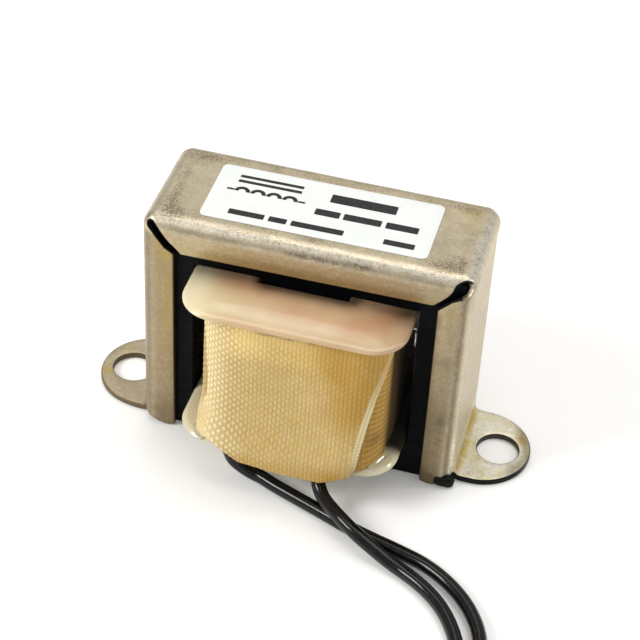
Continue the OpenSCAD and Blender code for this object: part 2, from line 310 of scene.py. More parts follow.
def cloth():
    g = Graph("woven_cloth", Specular_IOR_Level=0.25, Sheen_Weight=0.04, Sheen_Roughness=0.4)
    h = g.attr("hgt")
    # painted highlight and shade: the weave's crowns are coloured paler and the gaps between the yarns darker
    deep = g.mix(g.range(g.noise(0.5, 3, 0.6), 0.35, 0.65), (0.455, 0.315, 0.105), (0.53, 0.378, 0.15))
    top = g.mix(g.range(g.noise(0.7, 3, 0.6), 0.35, 0.65), (0.665, 0.495, 0.20), (0.745, 0.585, 0.275))
    c = g.mix(g.range(h, 0.2, 1.0), deep, top)
    # single yarns differ a little in tint
    yarn = g.noise(1.0, 2, 0.5, vec=g.stretch((2.2, 2.2, 0.25)))
    c = g.mix(g.range(yarn, 0.5, 0.72, 0, 0.4), c, (0.66, 0.47, 0.30))
    c = g.mix(g.range(yarn, 0.48, 0.3, 0, 0.35), c, (0.66, 0.56, 0.20))
    # fibres along each yarn
    fib = g.noise(6.0, 4, 0.7, vec=g.stretch((2.2, 2.2, 0.7)))
    c = g.mix(g.range(fib, 0.45, 0.75, 0, 0.25), c, (0.90, 0.78, 0.50))
    # painted light: pale makes the tape paler, with brighter crowns, at the left; it also carries the paler selvage
    # cords
    c = g.mix(g.attr("pale"), c, g.mix(g.range(h, 0.25, 0.95), (0.63, 0.475, 0.205), (0.98, 0.872, 0.56)))
    # varnish stain, which round the under layer's right side is partly painted shade
    stain = g.math("MULTIPLY", g.attr("stain"), g.range(g.noise(0.4, 2, 0.5, warp=0.4), -0.5, 0.55), clamp=True)
    c = g.mix(stain, c, g.mix(g.range(h, 0.1, 0.95), (0.37, 0.205, 0.034), (0.545, 0.325, 0.070)))
    # painted light: brighter and more golden at the upper left, under the upper flange
    c = g.mix(g.attr("gold"), c, g.mix(g.range(h, 0.15, 0.95), (0.62, 0.43, 0.125), (0.94, 0.69, 0.27)))
    # brown: painted shade inside the windows and beside the outer layer's left edge, with varnish cracks and stains
    c = g.mix(g.attr("brown"), c, (0.042, 0.022, 0.007))
    g.color(c)
    g.set("Roughness", g.range(h, 0.0, 1.0, 0.80, 0.55))
    g.bump(fib, 0.35, 0.05)
    return g.m


def paper_label():
    g = Graph("coated_paper", Specular_IOR_Level=0.35)
    c = g.mix(g.range(g.noise(0.3, 4, 0.6), 0.35, 0.7), (0.75, 0.77, 0.75), (0.79, 0.81, 0.79))
    c = g.mix(g.range(g.noise(6.0, 3, 0.6), 0.5, 0.8, 0, 0.12), c, (0.70, 0.71, 0.72))
    c = g.mix(g.math("MULTIPLY", g.attr("rim"), 0.7), c, (0.48, 0.46, 0.42))
    g.color(c)
    g.set("Roughness", g.range(g.noise(1.0, 3, 0.6), 0.3, 0.7, 0.42, 0.55))
    g.bump(g.noise(3.0, 4, 0.6), 0.15, 0.02)
    return g.m


def ink():
    g = Graph("black_ink", Specular_IOR_Level=0.3)
    g.color(g.mix(g.range(g.noise(5.0, 3, 0.6), 0.35, 0.75), (0.012, 0.012, 0.013), (0.035, 0.034, 0.034)))
    g.set("Roughness", g.range(g.noise(4.0, 3, 0.6), 0.3, 0.7, 0.45, 0.65))
    return g.m


def pvc():
    g = Graph("black_insulation", IOR=1.5, Specular_IOR_Level=0.32)
    g.color(g.mix(g.range(g.noise(1.2, 4, 0.6), 0.35, 0.7), (0.003, 0.003, 0.0032), (0.007, 0.0068, 0.0066)))
    g.set("Roughness", g.range(g.noise(1.5, 4, 0.6), 0.3, 0.7, 0.10, 0.19))
    g.bump(g.noise(2.4, 4, 0.55), 0.12, 0.04)
    return g.m


def tinned():
    g = Graph("tinned_copper", Metallic=1.0)
    g.color(g.mix(g.range(g.noise(1.6, 4, 0.6), 0.35, 0.7), (0.55, 0.54, 0.51), (0.75, 0.74, 0.71)))
    g.set("Roughness", g.range(g.noise(3.0, 3, 0.6), 0.3, 0.7, 0.22, 0.42))
    g.bump(g.noise(4.0, 3, 0.5), 0.2, 0.02)
    return g.m


def tie_nylon():
    g = Graph("tie_nylon", Specular_IOR_Level=0.5, Subsurface_Weight=0.2, Subsurface_Scale=0.0008)
    g.color(g.mix(g.range(g.noise(0.8, 3, 0.6), 0.35, 0.7), (0.72, 0.70, 0.62), (0.82, 0.80, 0.73)))
    g.set("Roughness", g.range(g.noise(1.6, 3, 0.6), 0.3, 0.7, 0.3, 0.45))
    g.bump(g.noise(2.5, 3, 0.5), 0.15, 0.03)
    return g.m


def pressboard():
    g = Graph("pressed_board", Specular_IOR_Level=0.08)
    g.color(g.mix(g.range(g.noise(2.0, 4, 0.65), 0.35, 0.7), (0.003, 0.003, 0.0033), (0.007, 0.0062, 0.0055)))
    g.set("Roughness", g.range(g.noise(3.0, 3, 0.6), 0.3, 0.7, 0.6, 0.8))
    g.bump(g.noise(5.0, 4, 0.6, vec=g.stretch((0.4, 1, 1))), 0.4, 0.04)
    return g.m


def kraft():
    g = Graph("insulation_paper")
    g.color(g.mix(g.range(g.noise(1.2, 4, 0.65), 0.35, 0.7), (0.42, 0.27, 0.10), (0.56, 0.39, 0.17)))
    g.set("Roughness", g.range(g.noise(2.0, 3, 0.6), 0.3, 0.7, 0.45, 0.65))
    g.bump(g.noise(4.0, 4, 0.6, vec=g.stretch((1, 1, 0.3))), 0.3, 0.04)
    return g.m


def enamel_wire():
    g = Graph("enamelled_copper", Metallic=0.9, Coat_Weight=0.6, Coat_Roughness=0.15)
    turns = g.math("SINE", g.math("MULTIPLY", g.axis(2), 2 * math.pi / 0.16))
    c = g.mix(g.range(turns, -1, 1), (0.30, 0.09, 0.03), (0.66, 0.28, 0.10))
    g.color(g.mix(g.range(g.noise(0.8, 3, 0.6), 0.4, 0.7, 0, 0.4), c, (0.42, 0.15, 0.06)))
    g.set("Roughness", g.range(g.noise(2.0, 3, 0.6), 0.3, 0.7, 0.25, 0.4))
    g.bump(turns, 0.5, 0.05)
    return g.m


M_STEEL = bracket_face()
M_BLACK = black_varnish()
M_BEAD = varnish_bead()
M_NYLON = nylon()
M_GLAZE = glaze()
M_CLOTH = cloth()
M_LABEL = paper_label()
M_INK = ink()
M_PVC = pvc()
M_TIN = tinned()
M_TIE = tie_nylon()
M_BOARD = pressboard()
M_KRAFT = kraft()
M_WIRE = enamel_wire()
for n, mat in (("gap_paper", M_BOARD), ("inner_wrap", M_KRAFT), ("winding", M_WIRE),
               ("splice_a", M_TIN), ("splice_b", M_TIN)):
    nodes[n].data.materials.clear()
    nodes[n].data.materials.append(mat)

# ------------------------------------------------------------------ leads
LEAD_R = 0.8
ROUTE_A = [
    (-6.3, -12.9, 8.6), (-6.3, -12.9, 7.0), (-6.3, -12.9, 5.6), (-6.3, -12.9, 4.4),
    (-5.8, -12.8, 2.6), (-4.5, -12.65, 1.3), (-2.7, -12.9, 0.8), (-0.6, -13.8, 0.8),
    (2.5, -15.0, 0.8), (5.4, -16.1, 0.8), (8.7, -17.4, 0.8), (11.8, -18.4, 0.8),
    (15.1, -19.3, 0.8), (18.4, -20.4, 0.8), (21.4, -22.2, 0.8), (24.0, -24.7, 0.8),
    (25.9, -27.8, 0.8), (26.8, -31.0, 0.8), (27.0, -34.5, 0.8), (27.0, -39.0, 0.8)]
ROUTE_B = [
    (4.0, -13.1, 8.6), (4.0, -13.1, 7.2), (4.0, -13.1, 5.8), (4.05, -13.2, 4.8),
    (4.25, -13.6, 3.8), (4.7, -14.4, 2.95), (5.5, -15.5, 2.5), (6.8, -16.8, 2.42),
    (8.6, -18.3, 2.4), (10.5, -19.5, 2.05), (12.5, -20.4, 1.5), (14.6, -21.3, 1.0),
    (16.8, -22.3, 0.8), (19.2, -23.8, 0.8), (21.4, -25.8, 0.8), (23.2, -28.4, 0.8),
    (24.5, -31.4, 0.8), (25.2, -34.8, 0.8), (25.4, -37.4, 0.8), (25.4, -39.0, 0.8)]
COIL = (16.5, -47.5)
LEVEL = 1.62


def coil_points(radius, travel, step=12.0):
    """Turns of the spare length: clockwise from angle 0, one level up each turn, with a rise over the tie."""
    n = int(round(travel / step))
    out = []
    for i in range(n + 1):
        s = travel * i / n
        k = min(int(s // 360), int((travel - 1e-6) // 360))
        local = s - 360 * k
        lift = float(smooth(local, 220, 314))
        hump = 1 - float(smooth(abs(local - 90), 9, 29))
        t = math.radians(-s)
        out.append((COIL[0] + radius * math.cos(t), COIL[1] + radius * math.sin(t),
                    LEAD_R + LEVEL * (k + lift) + 0.35 * hump))
    return out


def curve(name, pts, radius, material):
    cu = bpy.data.curves.new(name, "CURVE")
    cu.dimensions = "3D"
    sp = cu.splines.new("BEZIER")
    p = np.array(pts, float) * MM
    sp.bezier_points.add(len(p) - 1)
    for i, bp in enumerate(sp.bezier_points):
        q0, q1 = p[max(i - 1, 0)], p[min(i + 1, len(p) - 1)]
        t = q1 - q0
        if p[i][2] <= (LEAD_R + 1e-6) * MM:
            t = t * (1, 1, 0)
        t = t / np.linalg.norm(t)
        bp.handle_left_type = bp.handle_right_type = "FREE"
        bp.co = p[i]
        bp.handle_left = p[i] - t * np.linalg.norm(p[i] - q0) / 3
        bp.handle_right = p[i] + t * np.linalg.norm(q1 - p[i]) / 3
    cu.resolution_u = 5
    cu.bevel_depth = radius * MM
    cu.bevel_resolution = 6
    cu.use_fill_caps = True
    cu.materials.append(material)
    ob = bpy.data.objects.new(name, cu)
    scene.collection.objects.link(ob)
    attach(ob, "root")
    return ob


def strands(name, radius, start, sweep, z, node):
    """Stripped end: six tinned strands twisted round a seventh, along an arc."""
    verts, faces = [], []
    rings, sides, r1 = 44, 8, 0.125
    for k in range(7):
        base = len(verts)
        for i in range(rings + 1):
            f = i / rings
            t = math.radians(start - sweep * f)
            out = np.array((math.cos(t), math.sin(t), 0))
            zed = np.array((0, 0, 1.0))
            ctr = np.array((COIL[0], COIL[1], z)) + radius * out
            tw = 2 * math.pi * (k / 6 + 1.3 * f)
            if k < 6:
                ctr = ctr + 0.25 * (math.cos(tw) * out + math.sin(tw) * zed)
            rr = r1 * (1.0 if 0 < i < rings else 0.75)
            for j in range(sides):
                q = 2 * math.pi * j / sides
                verts.append(ctr + rr * (math.cos(q) * out + math.sin(q) * zed))
        for i in range(rings):
            for j in range(sides):
                p, q = base + i * sides, base + (i + 1) * sides
                faces.append((p + j, p + (j + 1) % sides, q + (j + 1) % sides, q + j))
        faces.append(tuple(base + j for j in reversed(range(sides))))
        faces.append(tuple(base + rings * sides + j for j in range(sides)))
    return piece(name, verts, faces, M_TIN, replaces=(node,))


pts_a = ROUTE_A + [(27.0, -41.8, 0.8), (27.0, -44.6, 0.8)] + coil_points(10.5, 720)
pts_b = ROUTE_B + [(25.4, -41.8, 0.8), (25.4, -44.6, 0.8)] + coil_points(8.9, 899)
lead_a = curve("lead_left", pts_a, LEAD_R, M_PVC)
lead_b = curve("lead_right", pts_b, LEAD_R, M_PVC)
tip_a = strands("tip_left", 10.5, 0.0, 32.7, 4.04, "lead_tip_a")
tip_b = strands("tip_right", 8.9, 181.0, 38.6, 4.04, "lead_tip_b")
for ob, names in ((lead_a, ("lead_a", "lead_coil")), (lead_b, ("lead_b",))):
    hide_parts(*names)


def coil_tie():
    """Tie round the coil: a strap with a head outside."""
    # section round the bundle, in (radius, height)
    r0, r1 = 8.1, 11.3
    corners = [(r0 - 0.2, 0.17), (r1 + 0.2, 0.17), (r1 + 0.2, 3.75), (r1 - 1.25, 5.36), (r0 - 0.2, 5.36)]
    path = []
    n = len(corners)
    for i in range(n):
        p, c, q = (np.array(corners[(i + k) % n]) for k in (-1, 0, 1))
        d0, d1 = (p - c) / np.linalg.norm(p - c), (q - c) / np.linalg.norm(q - c)
        for f in np.linspace(0, 1, 7):
            s0, s1 = c + d0 * 0.35, c + d1 * 0.35
            path.append((1 - f) ** 2 * s0 + 2 * f * (1 - f) * c + f * f * s1)
    path = np.array(path)
    dense = []
    for i in range(len(path)):
        p, q = path[i], path[(i + 1) % len(path)]
        k = max(1, int(np.linalg.norm(q - p) / 0.2))
        dense += [p + (q - p) * j / k for j in range(k)]
    path = np.array(dense)
    tan = np.roll(path, -1, 0) - np.roll(path, 1, 0)
    tan /= np.linalg.norm(tan, axis=1)[:, None]
    nor = np.c_[tan[:, 1], -tan[:, 0]]
    half, th, b = 1.25, 0.17, 0.06
    prof = [(-half, -th + b), (-half + b, -th), (half - b, -th), (half, -th + b),
            (half, th - b), (half - b, th), (-half + b, th), (-half, th - b)]
    verts, faces = [], []
    k = len(prof)
    for i, (p, nn) in enumerate(zip(path, nor)):
        for w, t in prof:
            rr, z = p + nn * t
            verts.append((COIL[0] + w, COIL[1] - rr, max(z, 0.0)))
    for i in range(len(path)):
        for j in range(k):
            p, q = i * k, ((i + 1) % len(path)) * k
            faces.append((p + j, p + (j + 1) % k, q + (j + 1) % k, q + j))
    # head: a bevelled block with a slot through it
    x0, x1, y0, y1, z0, z1 = 15.0, 18.0, -60.98, -59.1, 1.4, 4.0
    c = 0.35
    outline = [(x0 + c, y0), (x1 - c, y0), (x1, y0 + c), (x1, y1), (x0, y1), (x0, y0 + c)]
    levels = [(z0, 0.18), (z0 + 0.18, 0.0), (z1 - 0.18, 0.0), (z1, 0.18)]
    base = len(verts)
    mid = np.array(((x0 + x1) / 2, (y0 + y1) / 2))
    for z, ins in levels:
        for x, y in outline:
            q = np.array((x, y))
            d = mid - q
            q = q + d / np.linalg.norm(d) * ins
            verts.append((q[0], q[1], z))
    hole = [(15.45, -60.2), (17.55, -60.2), (17.55, -59.65), (15.45, -59.65)]
    k = len(outline)
    for i in range(len(levels) - 1):
        for j in range(k):
            p, q = base + i * k, base + (i + 1) * k
            faces.append((p + j, p + (j + 1) % k, q + (j + 1) % k, q + j))
    hb = len(verts)
    for z in (z0, z1):
        for x, y in hole:
            verts.append((x, y, z))
    # end faces between the outline and the slot
    for lev, hz, flip in ((base, hb, True), (base + 3 * k, hb + 4, False)):
        quads = [(lev + 0, lev + 1, hz + 1, hz + 0), (lev + 1, lev + 2, hz + 1), (lev + 2, lev + 3, hz + 2, hz + 1),
                 (lev + 3, lev + 4, hz + 3, hz + 2), (lev + 4, lev + 5, hz + 0, hz + 3), (lev + 5, lev + 0, hz + 0)]
        faces += [tuple(reversed(f)) if flip else f for f in quads]
    for j in range(4):
        faces.append((hb + (j + 1) % 4, hb + j, hb + 4 + j, hb + 4 + (j + 1) % 4))
    # tail of the strap, cut off above the head
    tb = len(verts)
    tail = [(15.6, -60.1), (17.4, -60.1), (17.4, -59.75), (15.6, -59.75)]
    for z in (1.0, 4.9):
        for x, y in tail:
            verts.append((x, y, z))
    faces += [(tb + 3, tb + 2, tb + 1, tb), (tb + 4, tb + 5, tb + 6, tb + 7)]
    faces += [(tb + j, tb + (j + 1) % 4, tb + 4 + (j + 1) % 4, tb + 4 + j) for j in range(4)]
    return piece("tie", verts, faces, M_TIE, replaces=("coil_tie",), flat=True)


tie = coil_tie()


# ------------------------------------------------------------------ plates cut from flat outlines
def resample(loop, step):
    out = []
    for i in range(len(loop)):
        p, q = np.array(loop[i], float), np.array(loop[(i + 1) % len(loop)], float)
        k = max(1, int(round(np.linalg.norm(q - p) / step)))
        out += [p + (q - p) * j / k for j in range(k)]
    return np.array(out)


def inset(loop, d):
    """The loop moved to its left by d, which is inwards for a counter-clockwise one."""
    t1, t2 = loop - np.roll(loop, 1, 0), np.roll(loop, -1, 0) - loop
    t1 /= np.linalg.norm(t1, axis=1)[:, None]
    t2 /= np.linalg.norm(t2, axis=1)[:, None]
    n1, n2 = np.c_[-t1[:, 1], t1[:, 0]], np.c_[-t2[:, 1], t2[:, 0]]
    mid = n1 + n2
    mid /= np.maximum(np.linalg.norm(mid, axis=1), 1e-6)[:, None]
    return loop + mid * (d / np.clip((mid * n1).sum(1), 0.6, 1))[:, None]


def inside(loops, pts):
    """Even-odd test of points against all loops."""
    odd = np.zeros(len(pts), bool)
    for lp in loops:
        x0, y0 = lp[:, 0], lp[:, 1]
        x1, y1 = np.roll(x0, -1), np.roll(y0, -1)
        for c in range(0, len(pts), 4000):
            p = pts[c:c + 4000]
            hit = (y0[None] > p[:, 1:2]) != (y1[None] > p[:, 1:2])
            xs = x0[None] + (p[:, 1:2] - y0[None]) * (x1 - x0)[None] / np.where(y1 == y0, 1e-12, y1 - y0)[None]
            odd[c:c + 4000] ^= ((hit & (p[:, 0:1] < xs)).sum(1) % 2).astype(bool)
    return odd


def plate(loops, thick, bevel, steps, grid, clear, cham=0.0):
    """A closed plate with rounded edges from flat outlines: the first counter-clockwise, holes clockwise.
    Returns the flat points (s, v), depths w, rim values and faces."""
    prof = []
    for k in range(steps + 1):
        t = math.pi / 2 * k / steps
        f = k / steps
        prof.append((bevel * ((1 - cham) * (1 - math.sin(t)) + cham * (1 - f)), bevel * ((1 - cham) * (1 - math.cos(t)) + cham * f)))
    lower = [(i, thick - w) for i, w in reversed(prof)]
    prof += lower[1:] if thick <= 2 * bevel + 1e-6 else lower
    sv, w, rim, faces, first, last = [], [], [], [], [], []
    for lp in loops:
        ids = []
        for i, (ins, dep) in enumerate(prof):
            q = inset(lp, ins) if ins > 1e-9 else lp
            ids.append(len(sv) + np.arange(len(q)))
            sv += q.tolist()
            w += [dep] * len(q)
            rim += [0.0 if i in (0, len(prof) - 1) else 1.0] * len(q)
        n = len(lp)
        for up_, lo_ in zip(ids[:-1], ids[1:]):
            for i in range(n):
                j = (i + 1) % n
                faces.append((int(up_[i]), int(lo_[i]), int(lo_[j]), int(up_[j])))
        first.append(ids[0])
        last.append(ids[-1])
    edge_loops = [np.array([sv[i] for i in f]) for f in first]
    if len(grid):
        keep = inside(edge_loops, grid)
        grid = grid[keep]
        every = np.concatenate(edge_loops)
        near = np.ones(len(grid), bool)
        for c in range(0, len(grid), 2000):
            d = np.linalg.norm(grid[c:c + 2000, None] - every[None], axis=2).min(1)
            near[c:c + 2000] = d > clear
        grid = grid[near]
    g0 = len(sv)
    sv += [list(p) for p in grid]
    w += [0.0] * len(grid)
    rim += [0.0] * len(grid)
    g1 = len(sv)
    sv += [list(p) for p in grid]
    w += [thick] * len(grid)
    rim += [0.0] * len(grid)
    flat = np.concatenate([*edge_loops, np.array(grid).reshape(-1, 2)])
    up_ids = np.concatenate([*first, g0 + np.arange(len(grid))]).astype(int)
    lo_ids = np.concatenate([*last, g1 + np.arange(len(grid))]).astype(int)
    edges, base = [], 0
    for lp in edge_loops:
        n = len(lp)
        edges += [(base + i, base + (i + 1) % n) for i in range(n)]
        base += n
    got = delaunay_2d_cdt([Vector(p) for p in flat], edges, [], 0, 1e-7, True)
    back_to = [o[0] if o else -1 for o in got[3]]
    tri = np.array([[back_to[i] for i in f] for f in got[2]], int)
    tri = tri[(tri >= 0).all(1)]
    mid = flat[tri].mean(1)
    tri = tri[inside(edge_loops, mid)]
    p0, p1, p2 = (flat[tri[:, k]] for k in range(3))
    area = (p1[:, 0] - p0[:, 0]) * (p2[:, 1] - p0[:, 1]) - (p1[:, 1] - p0[:, 1]) * (p2[:, 0] - p0[:, 0])
    tri[area < 0] = tri[area < 0][:, ::-1]
    faces += [tuple(int(x) for x in up_ids[f]) for f in tri]
    faces += [tuple(int(x) for x in lo_ids[f][::-1]) for f in tri]
    return np.array(sv), np.array(w), np.array(rim), faces


def arc(cx, cy, rad, a0, a1, n):
    return [(cx + rad * math.cos(t), cy + rad * math.sin(t)) for t in np.linspace(math.radians(a0), math.radians(a1), n)]


def rounded(hx, hy, rad, n=12):
    out = []
    for sx, sy, a0 in ((1, 1, 0), (-1, 1, 90), (-1, -1, 180), (1, -1, 270)):
        out += arc(sx * (hx - rad), sy * (hy - rad), rad, a0, a0 + 90, n)
    return out


# ------------------------------------------------------------------ bracket
R, T = 1.6, 0.75
S1 = 16.85
S2 = S1 + R * math.pi / 2
S3 = S2 + 28.15 - 1.35
S4 = S3 + 0.6 * math.pi / 2
S5 = S4 + 26.0 - 19.05
V0 = 5.85
V1 = V0 + R * math.pi / 2


def fold(s, v, w):
    """Place of a point of the flat sheet once it is folded; w is its depth below the outer side."""
    sg, av, sv_ = np.where(s < 0, -1.0, 1.0), np.abs(v), np.where(v < 0, -1.0, 1.0)
    q = np.abs(s)
    straight = av > V0 + 0.35
    q_foot = np.where(straight, np.minimum(q, S3), q)
    extra = np.where(straight, np.maximum(q - S3, 0), 0)
    t1 = np.clip((q_foot - S1) / R, 0, math.pi / 2)
    t2 = np.clip((q_foot - S3) / 0.6, 0, math.pi / 2)
    x = np.minimum(q_foot, S1) + R * np.sin(t1) + 0.6 * (1 - np.cos(t2)) + np.maximum(q_foot - S4, 0)
    z = 29.75 - R * (1 - np.cos(t1)) - np.clip(q_foot - S2, 0, S3 - S2) - 0.6 * np.sin(t2) - extra
    nx = np.where(t2 > 0, np.cos(t2), np.sin(t1))
    nz = np.where(t2 > 0, np.sin(t2), np.cos(t1))
    phi = np.clip((av - V0) / R, 0, math.pi / 2)
    foot = (q > S3 + 0.05) & ~straight
    phi = np.where(foot, 0, phi)
    d = np.where(foot, 0, R * (1 - np.cos(phi)) + np.maximum(av - V1, 0))
    y = np.where((av <= V0) | foot, av, V0 + R * np.sin(phi))
    # the free edges of the lips are pressed on to the stack
    y = y - 0.2 * smooth(av, 9.4, 10.7) * (phi > 1.5)
    px = x - d * nx - w * nx * np.cos(phi)
    pz = z - d * nz - w * nz * np.cos(phi)
    py = y - w * np.sin(phi)
    return np.c_[sg * px, sv_ * py, pz]


def quarter(kind):
    """Outline of a quarter of the flat sheet from the top's middle to the foot's tip; kinds differ in the corner slit."""
    if kind == "narrow":
        lip = [(0, 10.93), (7, 10.84), (14.1, 10.77), (14.35, 10.62), (15.8, 8.95), (16.22, 8.2), (16.32, 7.8),
               (16.45, 7.45), (16.8, 7.08), (17.45, 6.65), (18.05, 6.4), (18.5, 6.3), (18.82, 6.42), (19.15, 6.7),
               (19.6, 6.98), (19.85, 7.35), (19.95, 7.8), (20.1, 8.3), (20.6, 9.12), (21.4, 9.88), (22.15, 10.55)]
    else:
        lip = [(0, 10.93), (7, 11.0), (13.9, 11.08), (14.08, 10.92), (14.85, 10.0), (15.65, 9.05), (16.3, 8.15),
               (16.75, 7.6), (17.25, 7.2), (17.75, 7.02), (18.2, 7.1), (18.65, 7.45), (19.0, 7.8), (19.45, 8.15),
               (20.0, 8.55), (21.3, 9.55), (22.1, 10.52)]
    if kind == "narrow":
        lip += [(47.3, 10.6), (47.41, 10.45), (47.41, 8.9), (47.25, 8.763), (46.3, 8.763), (46.11, 8.55), (46.11, 6.15),
                (46.2, 5.93), (46.45, 5.85), (48.206, 5.85)]
    else:
        lip += [(47.3, 10.6), (47.41, 10.45), (47.36, 9.4), (47.2, 8.7), (46.95, 8.1), (46.75, 7.35), (46.4, 6.95),
                (46.2, 6.5), (46.2, 6.1), (46.35, 5.9), (46.6, 5.85), (48.206, 5.85)]
    lip += arc(48.206, 0, 5.85, 90, 0, 30)[1:]
    return lip


def bracket():
    fr, fl = quarter("narrow"), quarter("wide")
    # counter-clockwise from the front right foot: right front, right back, left back, left front
    loop = [(s, v) for s, v in reversed(quarter("narrow"))]
    right_back = loop
    left_back = [(-s, v) for s, v in quarter("wide")]
    left_front = [(-s, -v) for s, v in reversed(fl)]
    right_front = [(s, -v) for s, v in fr]
    outer = []
    for part in (right_back, left_back, left_front, right_front):
        for p in part:
            if not outer or np.linalg.norm(np.subtract(p, outer[-1])) > 1e-6:
                outer.append(p)
    if np.linalg.norm(np.subtract(outer[0], outer[-1])) < 1e-6:
        outer.pop()
    loops = [resample(outer, 0.32)]
    hole_s = S4 + 22.25 - 19.05
    for sg in (1, -1):
        loops.append(np.array(arc(sg * hole_s, 0, 2.4, 360, 0, 73)[:-1]))
    ss = np.concatenate([np.arange(0, S1, 0.62), np.arange(S1, S2, 0.2), np.arange(S2, S3, 0.62),
                         np.arange(S3, S4, 0.16), np.arange(S4, S5, 0.5)])
    ss = np.concatenate([-ss[:0:-1], ss])
    vv = np.concatenate([np.arange(0, V0, 0.6), np.arange(V0, V1, 0.22), np.arange(V1, 11.1, 0.42)])
    vv = np.concatenate([-vv[:0:-1], vv])
    grid = np.array([(s, v) for s in ss for v in vv])
    sv, w, rim, faces = plate(loops, T, 0.15, 4, grid, 0.14)
    s, v = sv[:, 0], sv[:, 1]
    pos = fold(s, v, w)
    # slight waviness of the sheet
    n0 = (fold(s, v, w - 0.01) - fold(s, v, w + 0.01)) / 0.02
    wave = fbm(pos * (1, 1, 1), 0.16, 3, 2) * 0.022 + fbm(pos, 0.6, 5, 2) * 0.006
    keep = 1 - smooth(np.abs(s), S3 - 1.5, S3 + 0.2)
    pos = pos + n0 * (wave * keep)[:, None]
    lean = 0.14 * smooth(s, S2 + 0.2, S2 + 1.8) + 0.08 * np.clip((s - S2) / (S3 - S2), 0, 1)
    pos[:, 0] -= lean * (1 - smooth(s, S3 - 0.6, S4)) * (1 - smooth(np.abs(v), 6.6, 9.0))
    pos[:, 1] += 0.18 * smooth(-s, S4 + 0.2, S4 + 2.5)
    # masks
    q, av = np.abs(s), np.abs(v)
    top = (q < S1 + 0.6) & (av < V0 + 0.6)
    edge = np.minimum(S1 - q, V0 - av)
    n1 = fbm(np.c_[s, v, 0 * s], 0.3, 11, 3)
    speck = 0.85 * np.where(top, np.exp(-((edge - 0.5) / 0.7) ** 2), 0) * (0.7 + 0.7 * n1)
    speck += 0.95 * blob(s, v, 15.2, -4.7, 2.2, 1.7) + 0.9 * blob(s, v, -15.4, -5.2, 1.8, 1.5)
    speck += 0.8 * blob(s, v, -15.4, 5.0, 2.4, 1.0) + 0.6 * blob(s, v, 14.9, 5.2, 2.8, 1.0)
    speck += 0.7 * blob(s, v, -15.9, -2.0, 0.8, 3.5) + 0.4 * blob(s, v, -7.0, -6.5, 9.0, 0.8)
    speck += 0.38 * smooth(av, V0, V0 + 0.8) * (1 - smooth(av, V1 - 0.2, V1 + 0.8)) * (v < 0) * (q < S1)
    speck += 0.25 * smooth(av, V1, V1 + 0.6)
    # painted highlight: bright bands along the bends of the top, down the right side's upright bends, and low on the
    # right side by the foot
    painted_highlight = 0.8 * np.exp(-((av - 6.85) / 0.42) ** 2) * (q < S1)
    painted_highlight += 0.85 * np.exp(-((q - 17.75) / 0.62) ** 2) * (av < 6.8) * (s > 0)
    painted_highlight += 0.3 * np.exp(-((q - 17.9) / 0.8) ** 2) * (av < 6.8) * (s < 0)
    painted_highlight += 0.3 * np.exp(-((av - 6.55) / 0.4) ** 2) * (q > S2 - 0.3) * (q < S3) * (s > 0)
    painted_highlight += 0.85 * blob(s, v, S3 - 0.5, -1.2, 0.9, 3.0)
    painted_highlight += 1.2 * np.exp(-((v + 6.75) / 0.28) ** 2) * smooth(s, S3 - 8, S3 - 3) * (s < S3 + 0.4)
    # scuffs under the front bend and other marks, and painted shade round the front corner slits and in a band down the
    # right side's upright bends
    dark = 0.5 * np.exp(-((v + 7.75) / 0.34) ** 2) * (0.35 + 0.65 * smooth(n1, -0.15, 0.35)) * (q < 15.5)
    dark += 1.2 * blob(s, v, 6.0, -7.55, 1.3, 0.3) + 0.9 * blob(s, v, 1.0, -7.7, 2.4, 0.28)
    dark += 0.8 * blob(s, v, -7.15, 5.6, 0.42, 0.5)
    dark += 0.9 * blob(s, v, -17.9, -6.6, 0.9, 0.6) + 0.45 * blob(s, v, 17.2, -6.5, 0.8, 0.4)
    dark += 0.45 * np.exp(-((av - 7.75) / 0.3) ** 2) * (q > S2 + 0.6) * (q < S3) * (s > 0)
    # varnish stains
    stain = 0.6 * blob(s, v, -21.4, -9.5, 2.0, 1.2) + 0.35 * blob(s, v, 15.6, 4.2, 1.8, 2.2) + 0.45 * blob(s, v, -30, -9.8, 9, 1.0)
    stain += 0.22 * blob(s, v, 22.2, -8.4, 1.8, 1.2) + 0.35 * smooth(av, 9.2, 10.8) * (q < S1) * (v < 0)
    stain += 0.8 * blob(s, v, 21.8, 5.4, 2.2, 0.7) + 0.5 * blob(s, v, 30, 6.6, 8, 0.7)
    stain += 1.0 * blob(s, v, S3 + 0.1, 3.2, 0.6, 2.6) + 1.7 * blob(s, v, S3 + 0.45, -2.5, 0.42, 3.3) + 0.5 * blob(s, v, S3 - 0.8, 4.2, 1.2, 1.6)
    stain += 0.6 * blob(s, v, S5 - 1.2, 2.4, 0.8, 1.5) + 0.25 * blob(s, v, S4 + 1.0, -1.0, 0.7, 2.2)
    stain += 0.8 * blob(s, v, -(S5 - 1.0), -1.4, 0.7, 1.0)
    stain += 0.22 * (q > S4) * smooth(fbm(np.c_[s, v, 0 * s], 0.45, 23, 3), -0.1, 0.5)
    # painted reflection: masks for the darker, browner lips and the paler upright sides, the right one most
    lip = smooth(av, V1 - 0.7, V1 + 0.3) * (q < S3 + 2) * np.where(v < 0, 1.0, 0.8)
    side = smooth(q, S2 - 0.6, S2 + 0.4) * (1 - smooth(q, S3 - 0.2, S3 + 0.5)) * (1 - smooth(av, 6.2, 7.0)) * np.where(s > 0, 1.0, 0.6)
    inner = (w > T * 0.5).astype(float)
